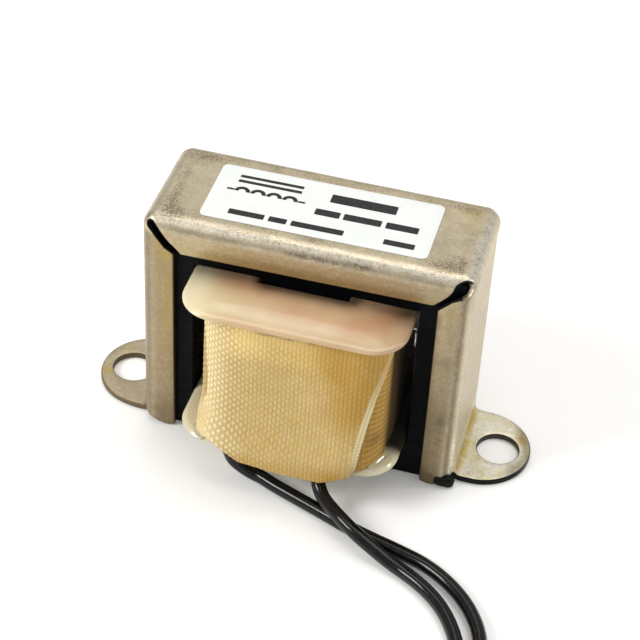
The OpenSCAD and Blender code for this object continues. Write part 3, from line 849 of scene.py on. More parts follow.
    # painted shade: the upright front bends darken before they turn bright, and the left lip, left bend and left foot
    # are darker
    shade = 0.75 * np.exp(-((av - 7.5) / 0.42) ** 2) * (q > S2 + 0.5) * (q < S3 + 1) * np.where(s > 0, 1.0, 0.35) * (v < 0)
    shade += 0.40 * smooth(av, V1 - 0.3, V1 + 0.3) * (q > S2 - 1) * np.where(s > 0, 0.12, 1.0) * (v < 0)
    shade += 0.25 * (s < -S3) * (av < V0 + 0.3) - 0.12 * blob(s, v, -hole_s, 4.5, 3.0, 1.6)
    shade += 0.42 * (s < -S2 - 0.3) * (s > -S3 - 1) * smooth(av, 5.4, 6.4) * (1 - smooth(av, V1 - 0.5, V1 + 0.3))
    # darker patches on the right lip; the lips darker towards the bottom, and the right foot's tip and the back corners
    # of the top darker
    shade += 0.30 * smooth(fbm(np.c_[s, v, 0 * s], 0.28, 53, 3), -0.05, 0.45) * smooth(av, V1 - 0.4, V1 + 0.2) * (s > S2 + 1) * (q < S3 + 1.3)
    shade += 0.10 * smooth(av, 9.4, 10.9) * (q < S1)
    front_lip = smooth(av, V1 - 0.5, V1 + 0.2) * (v < 0)
    shade += front_lip * (s > 0) * (0.30 * smooth(s, 33, 38) + 0.27 * smooth(s, 39, 45.5))
    shade += front_lip * (s < 0) * 0.26 * smooth(-s, 41, 46)
    from_hole = np.hypot(s - hole_s, v)
    shade += 0.70 * smooth(from_hole, 2.4, 3.3) * smooth(s - hole_s, 0.8, 2.3)
    shade += 0.12 * blob(s, v, 16.0, 5.0, 1.6, 1.4) * top
    shade += 0.14 * blob(s, v, -16.0, 5.2, 1.6, 1.2) * top
    foot = smooth(s, S3 - 3.2, S3 - 1.0) * (av < V0 + 0.3)
    # painted shade: the cut edges in the corner slits are black, except part of the right front slit's edges, which
    # catch the light and stay light; the cut edges at the notch beside the right foot are black too
    slit = (av > 6.0) & (av < 10.9) & (q > 13.8) & (q < 22.4)
    bright = (s > 18.25) & (v < 0) & (av < 7.9)
    black = rim * np.where(slit & ~bright, 1.0, 0.0)
    black += rim * ((s > 45.9) & (av > 5.9) & (av < 9.1) & (v < 0))
    # dark cut edges of the feet and their holes
    hole_d = np.hypot(q - hole_s, v)
    black += rim * np.where(from_hole < 2.9, 0.78, 0.30 + 0.70 * smooth(-v, 0.0, 3.5)) * ((q > S4 - 0.2) & (s > 0)) + 0.45 * rim * ((q > S4 - 0.2) & (s < 0) & (hole_d < 3))
    black += rim * ((s > S3 + 0.2) & (s < S4) & (v < -4.0))
    rim = np.where(slit & bright, 0.15, rim)
    attrs = {"speck": np.clip(speck, 0, 1.3), "painted_highlight": np.clip(painted_highlight, 0, 1) * (1 - inner),
             "dark": np.clip(dark, 0, 1) * (1 - inner), "stain": np.clip(stain, 0, 1), "lip": 0.8 * lip, "rim": rim,
             "side": side, "black": np.clip(black, 0, 1), "along": s, "cross": v, "shade": np.clip(shade, 0, 1), "foot": foot}
    return piece("bracket", pos, faces, M_STEEL, attrs, ("mounting_bracket",))


bracket()


# ------------------------------------------------------------------ laminations
def extrude_xz(outline, y0, y1, bev):
    """A thin upright sheet from an outline in x and z, with its edges broken by bev."""
    lp = np.array(outline, float)
    rings = [(inset(lp, bev), y0), (lp, y0 + bev), (lp, y1 - bev), (inset(lp, bev), y1)]
    verts, faces = [], []
    n = len(lp)
    for q, y in rings:
        verts += [(p[0], y, p[1]) for p in q]
    for k in range(3):
        for i in range(n):
            j = (i + 1) % n
            faces.append((k * n + i, k * n + j, (k + 1) * n + j, (k + 1) * n + i))
    return verts, faces, n


def core():
    rng = np.random.default_rng(4)
    e_v, e_f, i_v, i_f = [], [], [], []
    count = 27
    pitch = 12.9 / count
    for k in range(count):
        y0 = -6.45 + k * pitch
        y1 = y0 + pitch * 0.985
        j = rng.uniform(0, 0.05, 6)
        xl, xr, zt, zb = -17.45 + j[0], 17.45 - j[1], 28.75 - j[2], 5.1
        zy = 24.0 - j[3]
        # E with its back upwards, outline counter-clockwise seen from the front
        o = [(xl, zb), (-12.7, zb), (-12.7, zy), (-4.75, zy), (-4.75, zb), (4.75, zb), (4.75, zy), (12.7, zy),
             (12.7, zb), (xr, zb), (xr, zt), (xl, zt)]
        v, f, n = extrude_xz(o, y0, y1, 0.03)
        b = len(e_v)
        e_v += v
        e_f += [tuple(b + t for t in q) for q in f]
        # flat sides of the E as five rectangles with shared corners
        for base, flip in ((b, False), (b + 3 * n, True)):
            quads = [(0, 1, 2, 11), (2, 3, 6, 7), (3, 4, 5, 6), (7, 8, 9, 10), (11, 2, 7, 10)]
            for q in quads:
                q = tuple(base + t for t in q)
                e_f.append(tuple(reversed(q)) if flip else q)
        o = [(-17.45 + j[4], 0.1 + j[2] * 0.6), (17.45 - j[5], 0.1 + j[2] * 0.6), (17.45 - j[5], 4.85), (-17.45 + j[4], 4.85)]
        v, f, n = extrude_xz(o, y0, y1, 0.03)
        b = len(i_v)
        i_v += v
        i_f += [tuple(b + t for t in q) for q in f]
        i_f += [(b, b + 1, b + 2, b + 3), (b + 3 * n + 3, b + 3 * n + 2, b + 3 * n + 1, b + 3 * n)]
    piece("e_sheets", e_v, e_f, M_BLACK, replaces=("e_laminations",), flat=True)
    piece("i_sheets", i_v, i_f, M_BLACK, replaces=("i_laminations",), flat=True)


core()


def drops():
    """Black beads at the notch beside the right foot, part varnish and part a dark fill where the open notch lies in
    shade, and a run of varnish with bare spots down the inner edge of the right leg.
    """
    verts, faces, index = [], [], []
    for (cx, cy, cz), (rx, ry, rz), seed in (
            ((17.47, -6.90, 0.66), (1.15, 0.60, 0.70), 2), ((17.1, -6.88, 1.05), (0.98, 0.54, 0.80), 7),
            ((12.50, -6.52, 20.1), (0.10, 0.10, 1.0), 4), ((12.68, -6.5, 17.0), (0.12, 0.11, 2.4), 5),
            ((12.35, -6.6, 21.6), (0.26, 0.10, 0.14), 6)):
        b, nu, nv = len(verts), 28, 16
        ring = []
        for j in range(1, nv):
            for i in range(nu):
                t, p = 2 * math.pi * i / nu, math.pi * j / nv
                ring.append((math.cos(t) * math.sin(p), math.sin(t) * math.sin(p), math.cos(p)))
        ring = np.array(ring + [(0, 0, 1), (0, 0, -1)])
        k = 1 + (0.03 if seed in (2, 7) else 0.10) * fbm(ring, 1.3, seed, 3)
        if seed in (2, 7):
            ring = np.sign(ring) * np.abs(ring) ** 0.6
        q = np.array((cx, cy, cz)) + ring * k[:, None] * (rx, ry, rz)
        q[:, 2] = np.maximum(q[:, 2], 0.02)
        verts += q.tolist()
        for j in range(nv - 2):
            for i in range(nu):
                o, n = b + j * nu, b + (j + 1) * nu
                faces.append((o + i, n + i, n + (i + 1) % nu, o + (i + 1) % nu))
        n0, n1 = b + (nv - 1) * nu, b + (nv - 1) * nu + 1
        faces += [(n0, b + i, b + (i + 1) % nu) for i in range(nu)]
        last = b + (nv - 2) * nu
        faces += [(n1, last + (i + 1) % nu, last + i) for i in range(nu)]
        index += [1 if seed in (4, 6) else 0] * (len(faces) - len(index))
    piece("varnish_beads", verts, faces, [M_BEAD, M_TIN], index=index)


drops()


# ------------------------------------------------------------------ bobbin
def flange(z_top, slots, upper):
    out = rounded(12.5, 14.1, 4.0, 14)
    if slots:
        # open slots in the front edge, walked counter-clockwise along the front from left to right
        k = max(i for i, p in enumerate(out) if p[1] <= -14.1 + 1e-9 and p[0] < 0)
        ins = []
        for x, y in ((-6.3, -11.95), (4.0, -12.15)):
            ins += [(x - 0.95, -14.1)] + [(x + 0.95 * math.cos(t), y - 0.95 + 0.95 * math.sin(t) + 0.0)
                                          for t in np.linspace(math.pi, 0, 9)] + [(x + 0.95, -14.1)]
        out = out[:k + 1] + ins + out[k + 1:]
    outer = resample(out, 0.35)
    hy = 7.05 if upper else 7.35
    hole = resample([(5.0, hy), (5.0, -hy), (-5.0, -hy), (-5.0, hy)], 0.5)
    gx, gy = np.arange(-12.2, 12.3, 0.5), np.arange(-13.9, 14.0, 0.5)
    grid = np.array([(x, y) for x in gx for y in gy])
    sv, w, rim, faces = plate([outer, hole], 1.0, 0.30 if upper else 0.48, 6, grid, 0.2, 0.4 if upper else 0.6)
    x, y = sv[:, 0], sv[:, 1]
    droop = 0.0
    if upper:
        droop = -0.12 * smooth(-y, 9, 14.1) * (1 - (x / 14) ** 2)
    # the upper side rolls over gently towards the rim
    if upper:
        near = np.hypot(np.maximum(np.abs(x) - 5.5, 0) / 7.0, np.maximum(np.abs(y) - 7.1, 0) / 7.0)
        roll = 0.36 * smooth(near, 0.05, 1.1) * (1 - smooth(w, 0.10, 0.9))
    else:
        near = np.hypot(np.maximum(np.abs(x) - 8.5, 0), np.maximum(np.abs(y) - 10.1, 0))
        roll = 0.26 * smooth(near, 0.6, 4.3) ** 1.2 * (1 - smooth(w, 0.15, 0.9))
    return np.c_[x, y, z_top - w + droop - roll], w, faces


def bobbin():
    verts, faces, pink, grey, brown = [], [], [], [], []
    for z_top, slots, upper in ((23.96, False, True), (6.1, True, False)):
        pos, w, f = flange(z_top, slots, upper)
        b = len(verts)
        verts += pos.tolist()
        faces += [tuple(b + t for t in q) for q in f]
        x, y = pos[:, 0], pos[:, 1]
        ay = np.abs(y)
        n = fbm(pos, 0.18, 31, 3)
        rim_d = np.minimum(12.5 - np.abs(x), 14.1 - ay)
        if upper:
            p = 0.80 * smooth(rim_d, 0.5, 3.0) * (0.85 + 0.4 * n)
            p *= 0.14 + 0.86 * smooth(x, -10.5, -3.6)
            p += 0.35 * blob(x, ay, 9.6, 8.0, 1.8, 1.2) + 0.26 * smooth(x, 8.6, 11.4)
            p *= 1 - 0.20 * blob(x, ay, 3.0, 10.0, 4.5, 3.5)
            p += 0.50 * smooth(x, -11.0, -6.0) * (1 - 0.3 * smooth(x, 7, 10)) * (1 - smooth(rim_d, 0.3, 2.0)) + 0.50 * blob(x, ay, -8.0, 7.0, 4.0, 1.8)
            p += 0.26 * blob(x, ay, 6.5, 12.4, 1.8, 0.9)
            p += 0.16 * blob(x, ay, 9.0, 10.0, 2.6, 2.0)
            # painted shade: the upper flange darkens next to the stack and in a soft band in front of the tube's slot,
            # and is darker towards the right
            bn = 0.36 * np.exp(-((ay - 6.5) / 1.0) ** 2) + 0.30 * blob(x, ay, -8.0, 6.5, 4.0, 2.2) + 0.34 * blob(x, ay, 11.4, 7.0, 1.2, 1.6)
            bn += 0.06 * smooth(-x, 10.5, 12.0)
            bn += 1.1 * np.exp(-(np.maximum(ay - 6.95, 0) / 1.3) ** 2) * (1 - smooth(np.abs(x - 0.5), 4.4, 6.8))
            bn += 0.16 * smooth(x, 8.8, 11.6) + 0.07 * blob(x, ay, 9.0, 10.0, 2.6, 2.0) + 0.07 * smooth(x, -2, 8) * (1 - smooth(rim_d, 0.3, 1.6)) + 0.22 * blob(x, ay, 9.6, 7.4, 2.0, 0.7)
            # stained line along the under side of the front edge
            bn += 0.9 * smooth(w, 0.68, 0.82) * smooth(ay, 13.2, 13.6) * (0.15 + 0.85 * np.exp(-((x - 0.3) / 3.4) ** 2)) * smooth(fbm(np.c_[x, 0 * x, 0 * x], 0.9, 37, 3), -0.45, 0.25)
            pink += np.clip(p, 0, 0.9).tolist()
            grey += (0.55 * smooth(-x, 8.5, 12.0)).tolist()
            brown += np.clip(bn, 0, 0.85).tolist()
        else:
            pink += [0.0] * len(pos)
            grey += np.clip(0.8 + 0.4 * n, 0, 1).tolist()
            # painted shade: the lower flange darkens next to the stack and is nearly black inside the window at the
            # right; it is a little darker at the left end
            dark = 0.3 * np.exp(-((ay - 6.5) / 1.5) ** 2) * (np.abs(x) < 9) + 0.96 * smooth(-ay, -10.4, -8.6) * smooth(x, 8.0, 9.5)
            dark += 0.10 * smooth(-x, 7.5, 9.5)
            brown += np.clip(dark, 0, 0.97).tolist()
    # tube between the flanges
    b = len(verts)
    for hx, hy in ((5.8, 8.15), (5.0, 7.35)):
        for z in (6.0, 23.0):
            verts += [(hx, hy, z), (-hx, hy, z), (-hx, -hy, z), (hx, -hy, z)]
    for j in range(4):
        k = (j + 1) % 4
        faces += [(b + j, b + k, b + 4 + k, b + 4 + j), (b + 8 + k, b + 8 + j, b + 12 + j, b + 12 + k),
                  (b + k, b + j, b + 8 + j, b + 8 + k), (b + 4 + j, b + 4 + k, b + 12 + k, b + 12 + j)]
    for lst, val in ((pink, 0.0), (grey, 0.5), (brown, 0.1)):
        lst += [val] * 16
    piece("bobbin_moulding", verts, faces, M_NYLON, {"pink": pink, "grey": grey, "brown": brown}, ("bobbin",))


bobbin()

# ------------------------------------------------------------------ cloth tape
PU, PZ = 0.46, 0.41


def weave(u, z, bead):
    """Height of a plain weave, 0 in the gaps to 1 on the crowns of the upright yarns; bead sets how much the crowns stand out."""
    i, j = np.round(u / PU), np.round(z / PZ)
    cu, cz = (u - i * PU) / (0.5 * PU), (z - j * PZ) / (0.5 * PZ)
    rise = 0.5 + 0.5 * np.cos(np.pi * (z / PZ + i))
    rise = rise ** (1 + 1.4 * np.clip(bead - 0.4, 0, 1))
    upright = (1 - bead + bead * rise) * np.sqrt(np.clip(1 - 0.85 * cu * cu, 0, 1))
    dip = 0.5 - 0.5 * np.cos(np.pi * (u / PU + j))
    across = 0.85 * bead * dip * np.sqrt(np.clip(1 - cz * cz, 0, 1))
    return np.maximum(upright, across)


X_L, X_R = -10.35, 11.0
R_L, R_R = 4.2, 3.8


def outline_at(u, hy):
    """Point and outward normal on the outline round the coil at arc length u (positive to the right), for half depth hy."""
    u = np.asarray(u, float)
    front_r, front_l = X_R - R_R, -(X_L + R_L)
    qr, ql = R_R * math.pi / 2, R_L * math.pi / 2
    side_r, side_l = 2 * (hy - R_R), 2 * (hy - R_L)
    x, y, nx, ny = (np.zeros_like(u) for _ in range(4))

    def put(mask, xx, yy, nnx, nny):
        for arr, val in ((x, xx), (y, yy), (nx, nnx), (ny, nny)):
            arr[mask] = np.broadcast_to(val, arr.shape)[mask]

    t = u
    put((t >= -front_l) & (t <= front_r), t, -hy, 0.0, -1.0)
    # right hand side, going round to the back
    c = (t - front_r) / R_R
    put((t > front_r) & (t <= front_r + qr), X_R - R_R + R_R * np.sin(c), -(hy - R_R) - R_R * np.cos(c), np.sin(c), -np.cos(c))
    k = front_r + qr
    put((t > k) & (t <= k + side_r), X_R, -(hy - R_R) + (t - k), 1.0, 0.0)
    k = k + side_r
    c = (t - k) / R_R
    put((t > k) & (t <= k + qr), X_R - R_R + R_R * np.cos(c), (hy - R_R) + R_R * np.sin(c), np.cos(c), np.sin(c))
    k = k + qr
    put(t > k, X_R - R_R - (t - k), hy, 0.0, 1.0)
    # left hand side
    c = (-t - front_l) / R_L
    put((t < -front_l) & (t >= -front_l - ql), X_L + R_L - R_L * np.sin(c), -(hy - R_L) - R_L * np.cos(c), -np.sin(c), -np.cos(c))
    k = -front_l - ql
    put((t < k) & (t >= k - side_l), X_L, -(hy - R_L) + (k - t), -1.0, 0.0)
    k = k - side_l
    c = (k - t) / R_L
    put((t < k) & (t >= k - ql), X_L + R_L - R_L * np.cos(c), (hy - R_L) + R_L * np.sin(c), -np.cos(c), np.sin(c))
    k = k - ql
    put(t < k, X_L + R_L + (k - t), hy, 0.0, 1.0)
    return x, y, nx, ny


def length_round(hy):
    front_r, front_l = X_R - R_R, -(X_L + R_L)
    a_ = front_r + R_R * math.pi + 2 * (hy - R_R)
    b_ = front_l + R_L * math.pi + 2 * (hy - R_L)
    # the back runs from the right corner's end to the left corner's end
    return a_, b_, (X_R - R_R) - (X_L + R_L)


def depth_of(z):
    """Half depth of the wound coil under its outer layer of tape at each height."""
    return 13.05 + 0.25 * smooth(22.9 - z, 0, 5) + 0.45 * smooth(14 - z, 0, 7)


def wrap():
    """Tape all the way round the coil, between the flanges."""
    rows, cols = 112, 812
    z = np.linspace(22.9, 6.12, rows + 1)
    a_, b_, c_ = length_round(13.3)
    total = a_ + b_ + c_
    verts, hgt, stain, pale, brown = [], [], [], [], []
    for zi in z:
        hy = float(depth_of(zi))
        a_, b_, c_ = length_round(hy)
        u = -b_ + np.arange(cols) / cols * (a_ + b_ + c_)
        x, y, nx, ny = outline_at(u, hy)
        h = weave(u, np.full_like(u, zi), np.full_like(u, 0.45))
        # round the right hand corner the cross yarns show as level ribs
        ribs = smooth(u, 8.6, 9.6) * (1 - smooth(u, 20, 22))
        h = h * (1 - ribs) + ribs * (0.55 + 0.28 * math.cos(2 * math.pi * zi / 0.72) + 0.1 * np.sin(u * 9.0))
        soft = 0.05 * np.sin(u * 0.7 + 0.35 * zi) + 0.04 * np.sin(u * 1.9 - 0.5 * zi)
        # the layer below spreads on to the lower flange at both front corners
        soft = soft + 0.55 * smooth(9.0 - zi, 0, 2.8) * np.exp(-((u - 8.2) / 2.0) ** 2)
        corner = np.exp(-((u + 10.4) / 2.1) ** 2)
        soft = soft + 0.5 * smooth(10.4 - zi, 0, 3.6) * corner
        wet = 0.7 * float(smooth(10.8 - zi, 0, 2.5)) * corner
        h = h * (1 - wet) + 0.8 * wet
        o = soft + 0.10 * (h - 1)
        verts += np.c_[x + nx * o, y + ny * o, np.full_like(u, zi)].tolist()
        hgt += h.tolist()
        # varnish stain all round, heavier near both flanges; round the right hand side it is heavier still, partly
        # painted shade
        stain += (0.45 + 0.60 * smooth(u, 7.5, 9.0) * (1 - smooth(u, 20, 24)) + 0.4 * smooth(zi, 18, 23) + 0.4 * smooth(9.5 - zi, 0, 3.5) * (u > 8)).tolist()
        # painted light: paler round the left front corner and low at the left
        pale += (0.35 * np.exp(-((u + 10.6) / 1.2) ** 2) + 0.6 * smooth(10.0 - zi, 0, 2.5) * np.exp(-((u + 11.0) / 2.2) ** 2)).tolist()
        # painted shade: dark round the right side and the left back, where they lie inside the windows, and a dark line
        # beside the outer layer's left edge; darker just under the upper flange; rust is a stain low at the right
        into = smooth(u, 11.4, 13.5) * (1 - smooth(u, 25, 30)) + 0.7 * smooth(-u, 12.5, 15.0) * (1 - smooth(-u, 28, 32))
        sliver = 0.42 * np.exp(-((u + 9.3) / 0.7) ** 2) * float(smooth(zi, 8.5, 10.5)) + 0.22 * np.exp(-((u + 11.0) / 1.2) ** 2) * float(smooth(zi, 10.0, 12.0))
        rust = 0.45 * np.exp(-((u - 10.6) / 1.0) ** 2) * math.exp(-((zi - 9.6) / 0.9) ** 2)
        brown += np.clip(0.35 * smooth(zi, 22.2, 22.9) + 0.92 * into + sliver + rust, 0, 0.95).tolist()
    faces = []
    for i in range(rows):
        p, q = i * cols, (i + 1) * cols
        faces += [(p + j, q + j, q + (j + 1) % cols, p + (j + 1) % cols) for j in range(cols)]
    # inner side
    b = len(verts)
    for zi in (22.9, 6.12):
        hy = float(depth_of(zi)) - 0.35
        a_, b_, c_ = length_round(hy)
        u = -b_ + np.arange(cols) / cols * (a_ + b_ + c_)
        x, y, nx, ny = outline_at(u, hy)
        verts += np.c_[x - nx * 0.3 * (np.abs(ny) < 0.99), y, np.full_like(u, zi)].tolist()
        hgt += [0.3] * cols
        stain += [0.5] * cols
        pale += [0.0] * cols
        brown += [0.3] * cols
    last = rows * cols
    for j in range(cols):
        k = (j + 1) % cols
        faces.append((b + j, j, k, b + k))
        faces.append((b + cols + k, last + k, last + j, b + cols + j))
        faces.append((b + k, b + cols + k, b + cols + j, b + j))
    piece("tape_wrap", verts, faces, M_CLOTH, {"hgt": hgt, "stain": stain, "pale": pale, "brown": brown})


def lay(name, rows, cols, mirror):
    """The outer layer of tape over the front, hanging over the lower flange and ending at a slanting edge on the right."""
    q = np.linspace(0, 1, rows + 1)
    p = np.linspace(0, 1, cols + 1)
    # edges by height, top to bottom
    zl = [22.88, 21, 20, 17.4, 14.2, 11.55, 10.2, 9.0, 7.8, 6.9, 6.35]
    ul = [-11.0, -10.2, -9.8, -9.3, -9.0, -9.0, -9.5, -9.95, -10.15, -9.9, -9.4]
    zr = [22.88, 19.5, 16, 12, 8, 7.2]
    ur = [12.1, 11.05, 10.05, 9.25, 8.6, 8.45]
    # lower edge by arc length
    bu = [-9.4, -8.7, -7.9, -7.3, -6.0, -4.6, -1.1, 3.5, 4.8, 6.2, 7.9, 8.4]
    bz = [6.35, 6.33, 6.25, 6.1, 5.2, 4.3, 4.06, 3.93, 3.88, 4.6, 5.8, 7.0]
    verts, wv, hgt, stain, pale, brown, gold = [], [], [], [], [], [], []
    front = []
    for qi in q:
        # a row runs from the left edge to the right edge; its height blends from level to the lower edge's line
        z_left = np.interp(qi, np.linspace(0, 1, 40), np.linspace(22.88, 6.35, 40))
        z_right = np.interp(qi, np.linspace(0, 1, 40), np.linspace(22.88, 7.0, 40))
        u0 = np.interp(-z_left, [-t for t in zl], ul)
        u1 = np.interp(-z_right, [-t for t in zr], ur)
        u = u0 + (u1 - u0) * p
        low = np.interp(u, bu, bz)
        z = 22.88 + (low - 22.88) * qi
        hy = depth_of(z)
        front.append((u, z, hy, low))
    for (u, z, hy, low), qi in zip(front, q):
        # the outline's corners don't depend on the half depth apart from a shift in y
        x, y, nx, ny = outline_at(u, 13.3)
        y = y - (hy - 13.3)
        pr = np.linspace(0, 1, len(u))
        smear = smooth(11.5 - z, 0, 2.5) * (1 - smooth(pr * (u[-1] - u[0]), 0.8, 3.0))
        bead = 0.28 + 0.16 * smooth(-u, -4, 2) + 0.26 * smooth(-u, 3.5, 7.5)
        bead = bead * (1 - 0.45 * smooth(z, 20.0, 22.0) * smooth(u, -7, -4)) * (1 - 0.6 * blob(u, z, -4.0, 20.9, 1.7, 0.9))
        bead = bead * (1 - 0.7 * smear)
        h = weave(u, z, bead)
        h = h * (1 - 0.75 * smear) + 0.75 * smear * (0.70 + 0.18 * np.cos(2 * np.pi * z / 0.44))
        lift = 0.30 + 0.04 * np.sin(0.8 * u + 0.25 * z) + 0.05 * np.sin(0.33 * z - 0.5 * u)
        # swells outwards over the lower flange and hangs from its edge
        lift = lift + 1.02 * smooth(9.5 - z, 0, 3.6) * smooth(np.abs(u + 0.2) - 1.2 * (u < 0), 10.6, 7.8)
        # flare at the lower left
        lift = lift + 0.22 * blob(u, z, -8.8, 8.4, 1.3, 1.9) + 0.25 * blob(u, z, 7.5, 9.5, 2.5, 3.0)
        lift = lift - 0.12 * smear
        # selvage at the right, standing proud with two cords along it
        from_edge = (1 - pr) * (u[-1] - u[0])
        lift = lift + 0.12 * smooth(1.6 - from_edge, 0, 1.2)
        cord = np.exp(-((from_edge - 0.17) / 0.15) ** 2) + 0.75 * np.exp(-((from_edge - 0.56) / 0.16) ** 2)
        twist = 0.72 + 0.28 * np.cos(2 * np.pi * z / PZ + 4.0 * from_edge)
        cord = cord * twist
        fade = (0.35 + 0.65 * np.exp(-((z - 12.0) / 4.6) ** 2)) * smooth(z, 5.0, 8.0)
        plain = smooth(0.90 - from_edge, 0, 0.25) * (0.45 + 0.55 * fade)
        h = h * (1 - plain) + plain * (0.42 + 0.5 * cord)
        o = lift + (0.08 + 0.05 * smooth(-u, 5, 8)) * (h - 1) + 0.03 * plain * cord
        verts.append(np.c_[x + nx * o, y + ny * o, z])
        wv.append(np.c_[x + nx * (lift - 0.32), y + ny * (lift - 0.32), z])
        hgt += h.tolist()
        st = 0.30 + smooth(z, 16.5, 21.0) * (0.10 + 0.62 * smooth(u, -2.5, 6.5)) + 0.70 * smooth(u, 2.5, 7.5) * smooth(z, 8.5, 14.0) - 0.28 * smooth(-u, 5.5, 9)
        st = st + 0.35 * smooth(6.2 - z, 0, 1.6) * smooth(-u, -9, -5) + 0.34 * blob(u, z, -3.8, 21.5, 1.5, 0.7) + 0.5 * blob(u, z, 6.4, 5.2, 1.8, 1.3)
        # painted light: gold brightens the upper left, under the upper flange
        gd = (0.34 + 0.30 * smooth(-u, 1.0, 4.5)) * smooth(z, 17.5, 19.8) * smooth(-u, -6.0, -1.5) * (1 - smooth(-u, 5.8, 7.6))
        st = st - 0.3 * gd * smooth(-u, 0.5, 4.0) + 0.2 * smear
        gold += gd.tolist()
        stain += np.clip(st * (1 - plain), 0, 1).tolist()
        # painted light: the left part, the lower left flare and the upper left are paler; the selvage cords are paler
        # too
        pl = 0.88 * smooth(-u, 3.0, 8.4) * (1 - 0.20 * smooth(z, 20.5, 22.5)) + plain * fade * (0.6 + 1.2 * np.clip(cord, 0, 1))
        pl = pl + (0.18 * smooth(12 - z, 0, 5) + 0.6 * smooth(8 - z, 0, 2.5)) * smooth(-u, 3.6, 6.4)
        pl = pl + 0.40 * smooth(z, 18.0, 20.0) * smooth(-u, 3.2, 5.5) * (1 - blob(u, z, -3.6, 20.9, 1.4, 0.9))
        pale += np.clip(pl * (1 - 0.6 * smear), 0, 1).tolist()
        # dried varnish cracked along the flange
        crack = smooth(u, -3.9, -3.2) * (1 - smooth(u, 0.3, 1.0)) * (0.75 + 0.25 * np.sin(2.3 * u + 0.7 * np.sin(3.7 * u))) + 0.8 * np.exp(-((u - 2.75) / 0.45) ** 2)
        crack = crack * np.exp(-((z - 22.22 - 0.05 * np.sin(2.9 * u)) / 0.10) ** 2)
        brown += np.clip(0.5 * smooth(z, 22.5, 22.88) * smooth(u, -8, -5) + 0.6 * crack + 0.08 * plain * (1 - np.clip(cord, 0, 1)) + 0.20 * blob(u, z, 7.8, 6.5, 1.3, 1.4), 0, 1).tolist()
    v = np.concatenate(verts + wv)
    if mirror:
        v = v * (-1, -1, 1)
    n = cols + 1
    faces = []
    half = (rows + 1) * n
    for i in range(rows):
        for j in range(cols):
            p0 = i * n + j
            faces.append((p0, p0 + n, p0 + n + 1, p0 + 1))
            faces.append((half + p0, half + p0 + 1, half + p0 + n + 1, half + p0 + n))
    for i in range(rows):
        p0, p1 = i * n, (i + 1) * n
        faces.append((p0, half + p0, half + p1, p1))
        p0, p1 = i * n + cols, (i + 1) * n + cols
        faces.append((p0, p1, half + p1, half + p0))
    for j in range(cols):
        faces.append((j, j + 1, half + j + 1, half + j))
        p0 = rows * n + j
        faces.append((p0, half + p0, half + p0 + 1, p0 + 1))
    two = {"hgt": hgt + [0.3] * half, "stain": stain * 2, "pale": pale + [0.0] * half, "brown": brown + [0.2] * half, "gold": gold * 2}
    return piece(name, v, faces, M_CLOTH, two)


def fillet(name, start, turn, length, radius):
    """Clear varnish that has gathered where the wound tape meets the lower flange: a hollow-faced strip along a line
    from a start point, whose outward side turns from one bearing to another."""
    n, m = 60, 16
    verts, faces, up = [], [], []
    at = np.array(start, float)
    for i in range(n + 1):
        f = i / n
        q = math.radians(turn[0] + (turn[1] - turn[0]) * f)
        out, go = np.array((math.cos(q), math.sin(q))), np.array((-math.sin(q), math.cos(q)))
        k = radius * math.sqrt(max(1 - abs(2 * f - 1) ** 5, 0.003))
        th = np.linspace(0, math.pi / 2, m)
        sec = [(k * (1 - math.sin(x)), k * (1 - math.cos(x))) for x in th] + [(-0.5, k), (-0.5, -0.4), (k, -0.4)]
        for d, h in sec:
            x, y = at + out * d
            near = math.hypot(max(abs(x) - 8.5, 0), max(abs(y) - 10.1, 0))
            verts.append((x, y, 6.04 + h - 0.26 * float(smooth(near, 0.6, 4.3)) ** 1.2))
            up.append(min(max(h, 0) / k, 1))
        at = at + go * length / n
    c = m + 3
    for i in range(n):
        for j in range(c):
            a0, b0 = i * c + j, i * c + (j + 1) % c
            faces.append((a0, b0, b0 + c, a0 + c))
    faces += [tuple(reversed(range(c))), tuple(range(n * c, n * c + c))]
    return piece(name, verts, faces, M_GLAZE, {"up": up})


wrap()
fillet("varnish_fillet_right", (9.50, -13.10), (-25.0, -22.5), 3.8, 1.15)
fillet("varnish_fillet_left", (-10.55, -12.35), (220, 240), 2.3, 0.5)
tape_front = lay("tape_front", 172, 236, False)
tape_back = lay("tape_back", 140, 190, True)
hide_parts("cloth_tape")


# ------------------------------------------------------------------ label
def on_label(x, y):
    t = math.radians(0.6)
    return -0.05 + x * math.cos(t) - y * math.sin(t), -0.15 + x * math.sin(t) + y * math.cos(t)


def label():
    outer = resample(rounded(12.6, 4.9, 0.7, 8), 0.4)
    grid = np.array([(x, y) for x in np.arange(-12, 12.1, 0.8) for y in np.arange(-4.4, 4.5, 0.8)])
    sv, w, rim, faces = plate([outer], 0.12, 0.03, 2, grid, 0.3)
    x, y = on_label(sv[:, 0], sv[:, 1])
    lift = 0.012 * fbm(np.c_[sv, 0 * sv[:, 0]], 0.2, 41, 2)
    piece("paper_label", np.c_[x, y, 29.85 - w + lift * (w < 0.06)], faces, M_LABEL, {"rim": rim}, ("label",))


def bar(cx, cy, hx, hy, rad=0.12):
    return [(cx + px, cy + py) for px, py in rounded(hx, hy, rad, 4)]


def stroke(line, half):
    line = np.array(line, float)
    t = np.gradient(line, axis=0)
    t /= np.linalg.norm(t, axis=1)[:, None]
    nrm = np.c_[-t[:, 1], t[:, 0]]
    return (line - nrm * half).tolist() + (line + nrm * half)[::-1].tolist()


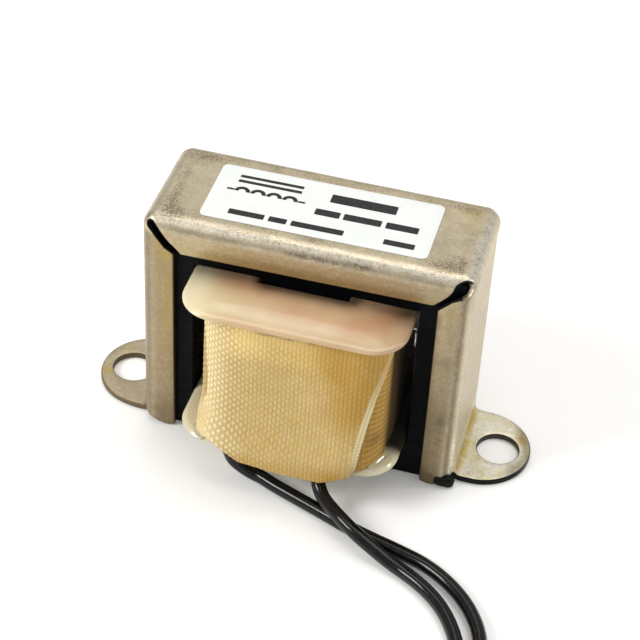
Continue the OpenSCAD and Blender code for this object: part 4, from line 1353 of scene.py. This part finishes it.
def label_print():
    """Plain print: the drawing symbol of a coil on a core, and ruled bars."""
    shapes = []
    # coil symbol: a lead-in, four humps, a lead-out, and two core lines
    for k in range(4):
        shapes.append(stroke(arc(-9.3 + 1.8 * k, 0.45, 0.66, 180, 0, 19), 0.23))
    shapes += [bar(-10.62, 0.60, 0.40, 0.15, 0.05), bar(-2.58, 0.60, 0.40, 0.15, 0.05)]
    shapes += [bar(-6.6, 2.3, 3.6, 0.24, 0.06), bar(-6.6, 3.2, 3.6, 0.24, 0.06)]
    shapes += [bar(4.0, 2.35, 3.7, 0.75), bar(0.6, -0.45, 1.4, 0.55), bar(4.5, -0.45, 2.1, 0.55), bar(8.9, -0.45, 1.8, 0.55)]
    shapes += [bar(-7.7, -3.3, 2.0, 0.45), bar(-4.2, -3.3, 1.0, 0.45), bar(0.2, -3.3, 2.9, 0.45), bar(9.2, -3.3, 1.7, 0.45)]
    verts, faces = [], []
    for sh in shapes:
        sv, w, rim, f = plate([np.array(sh)], 0.02, 0.004, 1, np.zeros((0, 2)), 0.1)
        x, y = on_label(sv[:, 0], sv[:, 1])
        b = len(verts)
        verts += np.c_[x, y, 29.866 - w].tolist()
        faces += [tuple(b + t for t in q) for q in f]
    piece("label_print", verts, faces, M_INK, flat=True)


label()
label_print()

# ------------------------------------------------------------------ floor and light
fm = Graph("pale_floor", Specular_IOR_Level=0.2, Emission_Strength=0.10)
fm.color(fm.mix(fm.range(fm.noise(0.02, 3, 0.5), 0.35, 0.7), (0.93, 0.93, 0.925), (0.95, 0.95, 0.945)))
fm.set("Roughness", fm.range(fm.noise(0.05, 3, 0.5), 0.3, 0.7, 0.75, 0.85))
me = bpy.data.meshes.new("floor")
me.from_pydata([(-4, -4, -2e-5), (4, -4, -2e-5), (4, 4, -2e-5), (-4, 4, -2e-5)], [], [(0, 1, 2, 3)])
me.materials.append(fm.m)
floor = bpy.data.objects.new("floor", me)
scene.collection.objects.link(floor)

world = bpy.data.worlds.new("studio")
scene.world = world
world.use_nodes = True
bg = world.node_tree.nodes["Background"]
bg.inputs["Color"].default_value = (1.0, 0.995, 0.985, 1)
bg.inputs["Strength"].default_value = 0.48


def softbox(name, where, aim, size, power, color=(1, 1, 1)):
    li = bpy.data.lights.new(name, "AREA")
    li.shape = "RECTANGLE"
    li.size, li.size_y = size
    li.energy = power
    li.color = color
    ob = bpy.data.objects.new(name, li)
    scene.collection.objects.link(ob)
    ob.location = where
    ob.rotation_mode = "QUATERNION"
    ob.rotation_quaternion = (Vector(aim) - Vector(where)).to_track_quat("-Z", "Y")
    return ob


softbox("key", (-0.50, -0.30, 0.45), (0, -0.01, 0.012), (0.24, 0.24), 2.9, (1.0, 0.985, 0.955))
softbox("top", (0.05, 0.20, 0.75), (0, 0, 0.02), (0.80, 0.55), 3.1, (1.0, 0.995, 0.985))
softbox("fill", (0.57, 0.20, 0.39), (0, 0, 0.012), (0.10, 0.10), 0.62, (1.0, 0.99, 0.97))

bpy.context.view_layer.update()
